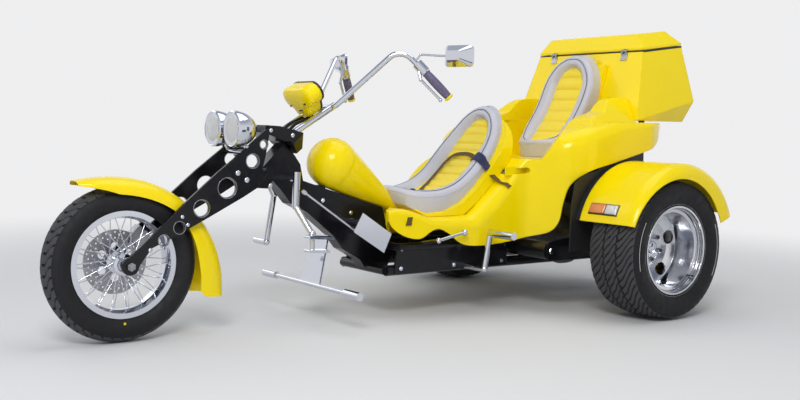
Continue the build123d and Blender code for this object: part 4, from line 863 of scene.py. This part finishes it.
# Fork: bolt heads on the plates' faces and rings round their holes, as (y, z, radius)
PLATE_FACE, HOLE_FACE = 106, 105.2
bolts = [dome(at(PLATE_FACE, y, z), SIDEWAYS, r, r * 0.55) for y, z, r in
         ((450, 660, 12), (491, 631, 12), (600, 834, 9), (210, 490, 8), (233, 458, 8), (78, 366, 9),
          (490, 767, 7))]
bolts += [dome(at(95, y, z), SIDEWAYS, 10, 6) for y, z in ((710, 815), (607, 606))]
piece("fork_bolts", "fork", both(join(*bolts)), chrome)
FORK_HOLES = ((133, 401, 21), (198, 448, 23), (292, 521, 33), (404, 600, 40), (517, 708, 28),
              (568, 776, 17))
rings = []
for y, z, r in FORK_HOLES:
    profile = [(0, r + 3.5), (1.3, r + 3.5), (1.6, r + 1), (-13, r - 1.5), (-13, r + 0.2)]
    verts, faces = turned(at(HOLE_FACE, y, z), SIDEWAYS, profile, 40)
    rings.append((verts, faces[:-2]))
piece("fork_hole_rings", "fork", both(join(*rings)), steel)

# Grips: a swelling sleeve with six sewn lines, and end caps
grip_a, grip_b = at(300, 1224, 1116), at(376, 1314, 996)
grip_dir = (grip_b - grip_a).normalized()
grip_long = (grip_b - grip_a).length / MM
swell = [(34 + (grip_long - 40) * t, 17.2 + 2.6 * sin(pi * t) ** 0.6) for t in np.linspace(0, 1, 22)]
verts, faces = turned(grip_a, grip_dir, [(30, 18.5), (31, 20.5), (34, 20.5), (34.5, 17.4)] + swell[1:], 60)
for k in range(0, len(verts), 10):
    middle = grip_a + grip_dir * (verts[k] - grip_a).dot(grip_dir)
    verts[k] = verts[k] + (middle - verts[k]) * 0.07
piece("grip_ribs", "fork", both((verts, faces)), grip)
caps = turned(grip_b + grip_dir * 0.003, grip_dir, [(0, 17.5), (1, 20.5), (8, 20.5), (11, 15), (12, 4)], 28)
piece("grip_caps", "fork", both(caps), yellow)

# Instrument pod: a rounded cover round three gauges, given as (x, up, radius), on a dark stem
pod_dir = Vector((0, 0.86, 0.5)).normalized()
pod_up = Vector((0, -0.5, 0.86)).normalized()
GAUGES = ((0, -18, 58), (-66, 18, 36), (66, 18, 36))
POD_CUPS = [(0, -18, 64)] + [(x, 18, 44) for x in range(-66, 67, 6)]
POD_SIDES = 144
POD_FACE = 88


def pod_spot(x, up, depth):
    """A point on the pod, across it, up it and in from its front."""
    return at(0, 778, 949) + (SIDEWAYS * x + pod_up * up + pod_dir * depth) * MM


def pod_reach(angle):
    """How far the joined outline of the gauge cups reaches at an angle."""
    best = 0
    for x, up, r in POD_CUPS:
        near = x * cos(angle) + up * sin(angle)
        gap = r * r - (x * x + up * up - near * near)
        if gap > 0:
            best = max(best, near + sqrt(gap))
    return best


pod_angles = [tau * k / POD_SIDES for k in range(POD_SIDES)]
reach_row = np.array([pod_reach(a) for a in pod_angles])
for _ in range(8):
    reach_row = (np.roll(reach_row, 1) + 2 * reach_row + np.roll(reach_row, -1)) / 4


def pod_rings(sections):
    """Rings of the pod's outline from (depth, share of its size) sections."""
    rings = []
    for depth, scale in sections:
        rings.append([pod_spot(r * scale * cos(a), r * scale * sin(a), depth)
                      for a, r in zip(pod_angles, reach_row)])
    return capped(rings)


front = [(2.0 + 20 * (1 - sqrt(1 - t * t)), 0.02 + 0.98 * (0.86 * t + 0.14 * sqrt(1 - (1 - t) ** 2)))
         for t in np.linspace(0, 1, 14)]
pod = piece("pod_cover", "fork", pod_rings(front + [(50, 1.0), (80, 0.985)]), yellow_smooth)
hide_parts("instrument_pod")
piece("pod_rear_rim", "fork", pod_rings([(78, 0.99), (79, 1.02), (87, 1.02), (88.5, 0.99), (88.5, 0.9)]),
      plastic)
piece("pod_stem", "fork", both(tube([at(26, 722, 826), at(26, 762, 862), at(26, 850, 900)], 7, 20)), black)
marks = [pillow(pod_spot(x, up, 3), SIDEWAYS, pod_up, -pod_dir, 8, 6, 4)
         for x, up in ((-52, -12), (6, -34), (22, -34), (66, -4))]
piece("pod_screws", "fork", join(*marks), plastic)


def dial_mark(centre, angle, start, lift, low, high):
    """A small block on a dial, pointing outwards at an angle."""
    out = SIDEWAYS * cos(angle) + pod_up * sin(angle)
    place = Matrix((out, pod_dir.cross(out), pod_dir)).transposed().to_4x4()
    place.translation = centre + (out * start + pod_dir * lift) * MM
    return block(low, high, place)


rims, dials, ticks = [], [], []
for x, up, r in GAUGES:
    c = pod_spot(x, up, POD_FACE)
    rims.append(turned(c, pod_dir, [(-2, r), (5, r), (7, r - 3), (5, r - 6), (1, r - 6)]))
    dials.append(turned(c, pod_dir, [(0, r - 5), (1.6, r - 5), (1.7, 1)]))
    for k in range(25):
        long = 9 if k % 4 == 0 else 5
        angle = radians(225 - 270 * k / 24)
        ticks.append(dial_mark(c, angle, r - 9 - long, 1.6, (0, -0.7, 0), (long, 0.7, 0.6)))
    ticks.append(dial_mark(c, radians(215), 0, 2.6, (-8, -1.1, 0), (r - 16, 1.1, 0.8)))
    ticks.append(turned(c, pod_dir, [(1.5, 5), (5, 4.5), (5.2, 1)], 16))
piece("gauge_rims", "fork", join(*rims), chrome)
piece("gauge_dials", "fork", join(*dials), dial)
piece("gauge_marks", "fork", join(*ticks), white_paint, 0)

# Front fender: one skin along two arcs, deeper towards the rear

# Start, heading, radius and turn of each arc, then the skirt's depth at distances along them
ARCS = ((-185, 634, 12.3, 600, 23), (54.2, 637.4, -10.7, 455, 84))
SKIRT = np.array([(0, 20), (39, 32), (155, 64), (262, 66), (436, 64), (560, 82), (716, 110),
                  (908, 126)], float)
FENDER_HALF, FENDER_WALL = 82, 3
FENDER_ROWS, FENDER_COLUMNS = 110, 41
arc_lengths = [radius * radians(turn) for _, _, _, radius, turn in ARCS]


def fender_row(s):
    """The fender's crown point and heading at a distance along it."""
    first = s <= arc_lengths[0]
    y, z, heading, radius, _ = ARCS[0] if first else ARCS[1]
    h0 = radians(heading)
    h1 = h0 - (s if first else s - arc_lengths[0]) / radius
    return y + radius * (sin(h0) - sin(h1)), z - radius * (cos(h0) - cos(h1)), h1


sheets = []
for drawn in (0, FENDER_WALL):
    rows = []
    for s in np.linspace(0, sum(arc_lengths), FENDER_ROWS):
        y, z, h = fender_row(s)
        drop = np.interp(s, SKIRT[:, 0], SKIRT[:, 1])
        drop *= 1 - 0.25 * max(0, (s - sum(arc_lengths) + 40) / 40) ** 2
        narrow = 1 - 0.4 * max(0, 1 - s / 110) ** 2
        for t in np.linspace(-pi / 2, pi / 2, FENDER_COLUMNS):
            x = (FENDER_HALF - drawn) * narrow * (1 if t > 0 else -1) * abs(sin(t)) ** 0.8
            out = -(drop - drawn) * (1 - max(0, cos(t)) ** 0.8) - drawn
            rows.append(at(x, y - out * sin(h), z + out * cos(h)))
    sheets.append(rows)
fender = piece("front_fender_skin", "fork", slab(*sheets, FENDER_ROWS, FENDER_COLUMNS), yellow_smooth, 35)
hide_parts("front_fender")
tabs = [turned(at(79, y, z), SIDEWAYS, [(0, 11), (15, 11)], 24)
        for y, z in ((229, 532), (237, 525), (245, 518))]
piece("fender_tabs", "fork", both(join(*tabs)), black)

# Headlamp rims
rim = [(-10, 66), (-12, 70), (-8, 75), (4, 76), (12, 75.5), (14, 72)]
piece("headlamp_rims", "fork", both(turned(at(85, 439, 837), REARWARDS, rim, 64)), chrome)

# Springs on the struts
COILS, SPRING_RADIUS, COIL_STEPS = 9, 0.031, 16
foot, head = at(476, 2335, 395), at(476, 2414, 667)
lean = (head - foot).normalized()
u, v = square_to(lean)
coil = []
for k in range(COILS * COIL_STEPS + 1):
    a = tau * k / COIL_STEPS
    rise = 0.045 + 0.185 * k / (COILS * COIL_STEPS)
    coil.append(foot + lean * rise + (u * cos(a) + v * sin(a)) * SPRING_RADIUS)
piece("strut_springs", "chassis", both(tube(coil, 4.5, 8)), yellow)

# Lamps on the fenders: a dark frame, an amber and a clear lens in front, a red and an amber behind
FENDER_CENTRE, FENDER_RADIUS = (2337, 347), 374
FRONT_LAMP, REAR_LAMP = 154.7, 32


def lamp(angle, x, stand, width, height, depth, power=8):
    """A pair of pillows on the fenders' crowns, at an angle round the wheel."""
    a = radians(angle)
    out = Vector((0, cos(a), sin(a)))
    up = Vector((0, sin(a), -cos(a))) * (-1 if angle > 90 else 1)
    centre = at(x, *FENDER_CENTRE) + out * (FENDER_RADIUS + stand) * MM
    return pillow(centre, SIDEWAYS, up, out, width, height, depth, power)


obj = piece("lamp_frames", "chassis", both(join(lamp(FRONT_LAMP, 671, 0, 172, 56, 8, 30),
                                                lamp(REAR_LAMP, 700, 0, 180, 66, 9, 30))), plastic)
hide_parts("fender_lamps")
for name, look, place in (("marker_lens_amber", amber, (FRONT_LAMP, 637, 6, 94, 47, 7.5)),
                          ("marker_lens_clear", clear, (FRONT_LAMP, 720, 6, 64, 47, 7.5)),
                          ("tail_lens_red", red_lens, (REAR_LAMP, 672, 7, 112, 56, 10)),
                          ("tail_lens_amber", amber, (REAR_LAMP, 759, 7, 52, 56, 10))):
    piece(name, "chassis", both(lamp(*place)), look)

# The seal between the luggage box and its lid
seam = [at(*p) for p in ((-366, 2586, 1267), (366, 2586, 1267), (366, 2883, 1309), (-366, 2883, 1309))]
along = (seam[2] - seam[1]).normalized()
lift = SIDEWAYS.cross(along)
outs = (-SIDEWAYS - along, SIDEWAYS - along, SIDEWAYS + along, along - SIDEWAYS)
SEAL_SECTION = ((1.4, -7), (1.6, 2.5), (-3, 3.2), (-5, -7))
verts = [p + (o * outwards + lift * rise) * MM for outwards, rise in SEAL_SECTION for p, o in zip(seam, outs)]
piece("lid_seal", "chassis", (verts, grid(4, 4, closed_row=True, closed_column=True)), plastic, 20)

# Rear wheels: hub caps, nuts, lines painted on the tyre's wall and valves
NUT_CIRCLE = 0.056
# Radius, width, first and last angle
WALL_LINES = ((213, 1.6, 0, 360), (276, 2.4, -28, 24), (276, 2.4, 150, 196))
for name, sign in (("left", 1), ("right", -1)):
    body = f"rear_wheel_{name}"
    hub = rear_hub + SIDEWAYS * sign * REAR_TYRE_X * MM
    axis = (sign, 0, 0)
    cap = turned(hub, axis, [(-42, 30), (-20, 30), (-16, 27), (-13, 18), (-12, 4)], 32)
    nuts = [hexagon(hub + Vector((sign * -0.018, NUT_CIRCLE * cos(a), NUT_CIRCLE * sin(a))), axis, 9, 8)
            for a in [radians(54 + 72 * k) for k in range(5)]]
    valve = turned(hub + Vector((sign * 0.094, 0.126, -0.126)), axis,
                   [(-12, 4), (18, 3.4), (19, 4.4), (28, 4.4)], 12)
    piece(f"rear_hub_cap_{name}", body, cap, chrome)
    piece(f"rear_lug_nuts_{name}", body, join(*nuts), plastic)
    for k, (radius, *line) in enumerate(WALL_LINES):
        piece(f"rear_wall_line_{name}_{k}", body, wall_line(hub, sign * wall_reach(radius), radius, *line),
              white_paint, 0)
    piece(f"rear_valve_{name}", body, valve, plastic)

# A small paint dot on each side of the front tyre
piece("front_tyre_dots", "front_wheel", both(pillow(
    front_hub + Vector((0.0628, -0.006, -0.227)), -REARWARDS, UPWARDS, SIDEWAYS, 9, 9, 2.0, 3)), yellow)

# Nuts on the frame and the rear suspension
hardware = [hexagon(at(440, 1900, 298), SIDEWAYS, 15, 11), hexagon(at(448, 2335, 395), SIDEWAYS, 9, 7)]
for x, y, z in ((198, 1215, 230), (198, 1215, 316), (198, 1520, 324), (198, 1520, 228), (198, 1815, 324),
                (198, 1815, 228), (38, 899, 532), (38, 1049, 473)):
    hardware.append(hexagon(at(x, y, z), SIDEWAYS, 7, 5))
piece("frame_nuts", "chassis", both(join(*hardware)), chrome)

# Engine: pulley faces, the belt between them, sheet-metal screws and clamps on the muffler
crank_spot, fan_spot = at(0, 2788, 330), at(0, 2808, 690)
CRANK_PULLEY = [(-1, 64), (0, 72), (4, 72), (8, 60), (12, 72), (16, 72), (17, 60), (12, 24), (20, 22),
                (21, 4)]
FAN_PULLEY = [(-19, 60), (-14, 67.5), (-9, 62), (-4, 67.5), (0, 67), (1, 50), (-3, 24), (5, 20), (6, 4)]
piece("pulleys", "chassis", join(turned(crank_spot, REARWARDS, CRANK_PULLEY, 64),
                                 turned(fan_spot, REARWARDS, FAN_PULLEY, 64)), steel)
BELT_MIDDLE = 2797
loop = []
for centre, radius, start in ((fan_spot, 65, 0), (crank_spot, 69, 180)):
    for step in range(0, 181, 12):
        a = radians(start + step)
        loop.append((radius * cos(a), centre.z / MM + radius * sin(a)))
verts = [at(x * grow, BELT_MIDDLE + off, z)
         for off, grow in ((-5, 1.0), (5, 1.0), (4, 0.94), (-4, 0.94)) for x, z in loop]
piece("fan_belt", "chassis", (verts, grid(4, len(loop), closed_row=True, closed_column=True)), rubber, 50)
SCREW_CIRCLE = 168
screws = [dome(at(SCREW_CIRCLE * cos(a), 2640, 690 + SCREW_CIRCLE * sin(a)), REARWARDS, 6, 4)
          for a in [radians(k) for k in range(20, 161, 28)]]
screws += [hexagon(at(x, 2736, 345 + z), REARWARDS, 8, 7) for x in (-345, -190, 190, 345) for z in (-38, 38)]
piece("engine_screws", "chassis", join(*screws), steel)
clamps = [turned(at(x, 2868, 262), SIDEWAYS, [(-9, 52), (-8, 54.5), (8, 54.5), (9, 52)]) for x in (-215, 215)]
piece("muffler_clamps", "chassis", join(*clamps), steel)

# A thin rod from the left pedal down to the plate on the frame
piece("pedal_rod", "chassis", join(
    tube([at(150, 742, 575), at(160, 826, 516), at(170, 983, 408)], 4),
    turned(at(148, 738, 578), (0, 0.83, -0.56), [(-12, 7), (-6, 9), (6, 9), (12, 7)], 16)), chrome)

# Dark cards beside the lights, seen only in what shines: x, y, width, foot and top in metres
CARDS = ((3.0, 0.85, 0.9, 0.0, 0.7), (5.5, -1.2, 1.1, 0.05, 2.6), (4.2, 3.6, 1.6, 0.05, 2.2),
         (-2.0, -5.5, 1.4, 0.05, 2.4))
card_look = material("dark_card", (0.13, 0.15, 0.21), 0.9, vary=0.9, cloud=1.7)
for k, (x, y, wide, low, high) in enumerate(CARDS):
    half = Vector((-y, x, 0)).normalized() * wide / 2
    corners = [Vector((x, y, z)) + half * side for side, z in ((-1, low), (1, low), (1, high), (-1, high))]
    card = piece(f"card_{k}", "", (corners, [(0, 1, 2, 3)]), card_look, 0)
    card.visible_camera = False
    card.visible_diffuse = False
    card.visible_shadow = False

# Ground: lit near the object, and further off the same pale tone as the wall behind
PALE = (0.86, 0.86, 0.87, 1)
SIZE = 60.0
floor = material("pale_floor", (0.8, 0.8, 0.8), 0.75, grain=0.0006, grain_scale=60, vary=0.01,
                 spread=0.03)
ground = piece("ground", "", ([(-SIZE, -SIZE, 0), (SIZE, -SIZE, 0), (SIZE, SIZE, 0), (-SIZE, SIZE, 0)],
                              [(0, 1, 2, 3)]), floor, 0)
tree = floor.node_tree
where = node(tree, "NewGeometry").outputs["Position"]
reach = node(tree, "VectorMath", {0: where}, operation="LENGTH").outputs["Value"]
fade = node(tree, "MapRange", {"From Min": 1.8, "From Max": 5.5, "Value": reach},
            interpolation_type="SMOOTHSTEP")
glow = node(tree, "Emission", {"Color": PALE})
lit = tree.nodes["Principled BSDF"]
blend = node(tree, "MixShader", {"Fac": fade.outputs["Result"], 1: lit.outputs["BSDF"],
                                 2: glow.outputs["Emission"]})
feed(tree, tree.nodes["Material Output"].inputs["Surface"], blend.outputs["Shader"])

# World: a pale wall that darkens towards the ceiling, seen by the camera and by what shines
world = bpy.data.worlds.new("studio")
bpy.context.scene.world = world
world.use_nodes = True
tree = world.node_tree
daylight = tree.nodes["Background"]
daylight.inputs["Color"].default_value = (0.75, 0.78, 0.84, 1)
daylight.inputs["Strength"].default_value = 0.45
rays = node(tree, "LightPath").outputs
seen = rays["Is Camera Ray"]
for ray in ("Is Glossy Ray", "Is Transmission Ray"):
    seen = node(tree, "Math", {0: seen, 1: rays[ray]}, operation="MAXIMUM").outputs["Value"]
split = node(tree, "SeparateXYZ", {"Vector": node(tree, "TexCoord").outputs["Generated"]})
ramp = node(tree, "ValToRGB", {"Fac": split.outputs["Z"]})
for element, (place, colour) in zip(ramp.color_ramp.elements, ((0.3, PALE), (0.75, (0.3, 0.34, 0.42, 1)))):
    element.position = place
    element.color = colour
wall = node(tree, "Background", {"Color": ramp.outputs["Color"]})
mix = node(tree, "MixShader", {"Fac": seen, 1: daylight.outputs["Background"], 2: wall.outputs["Background"]})
feed(tree, tree.nodes["World Output"].inputs["Surface"], mix.outputs["Shader"])


def softbox(name, place, aim, size_x, size_y, power):
    light = bpy.data.lights.new(name, "AREA")
    light.shape = "RECTANGLE"
    light.size, light.size_y = size_x, size_y
    light.energy = power
    obj = bpy.data.objects.new(name, light)
    bpy.context.scene.collection.objects.link(obj)
    obj.location = place
    obj.rotation_euler = (Vector(aim) - Vector(place)).to_track_quat("-Z", "Y").to_euler()


softbox("key", (4.0, -3.5, 4.2), (0, 0, 0.5), 2.2, 1.6, 175)
softbox("fill", (-4.5, -2.0, 3.5), (0, 0, 0.5), 3.0, 3.0, 30)
softbox("top", (0.5, 0.8, 5.0), (0, 0.2, 0.4), 4.0, 4.0, 75)

# Camera at the photograph's angle, fitted to its wheels

# tilt is 13 mm over the wheelbase of 2300 mm.
FOCAL_PIXELS, PHOTO_WIDTH, SENSOR_WIDTH = 1013.5, 800, 36
CAMERA_SPOT = Vector((3.7887, -2.7777, 0.8692))
yaw, pitch, roll, tilt = radians(36.58), radians(4.44), radians(0.98), 13 / 2300
ahead = Vector((-cos(yaw) * cos(pitch), sin(yaw) * cos(pitch), -sin(pitch)))
right = Vector((sin(yaw), cos(yaw), 0))
up = right.cross(ahead)
right, up = right * cos(roll) + up * sin(roll), up * cos(roll) - right * sin(roll)
columns = [Vector((v.x, v.y - tilt * v.z, v.z + tilt * v.y)).normalized() for v in (right, up, -ahead)]
lens = bpy.data.cameras.new("camera")
lens.sensor_width = SENSOR_WIDTH
lens.lens = FOCAL_PIXELS / PHOTO_WIDTH * SENSOR_WIDTH
camera = bpy.data.objects.new("camera", lens)
bpy.context.scene.collection.objects.link(camera)
camera.matrix_world = Matrix.Translation(CAMERA_SPOT) @ Matrix(columns).transposed().to_4x4()
bpy.context.scene.camera = camera
bpy.context.scene.view_settings.view_transform = "Standard"
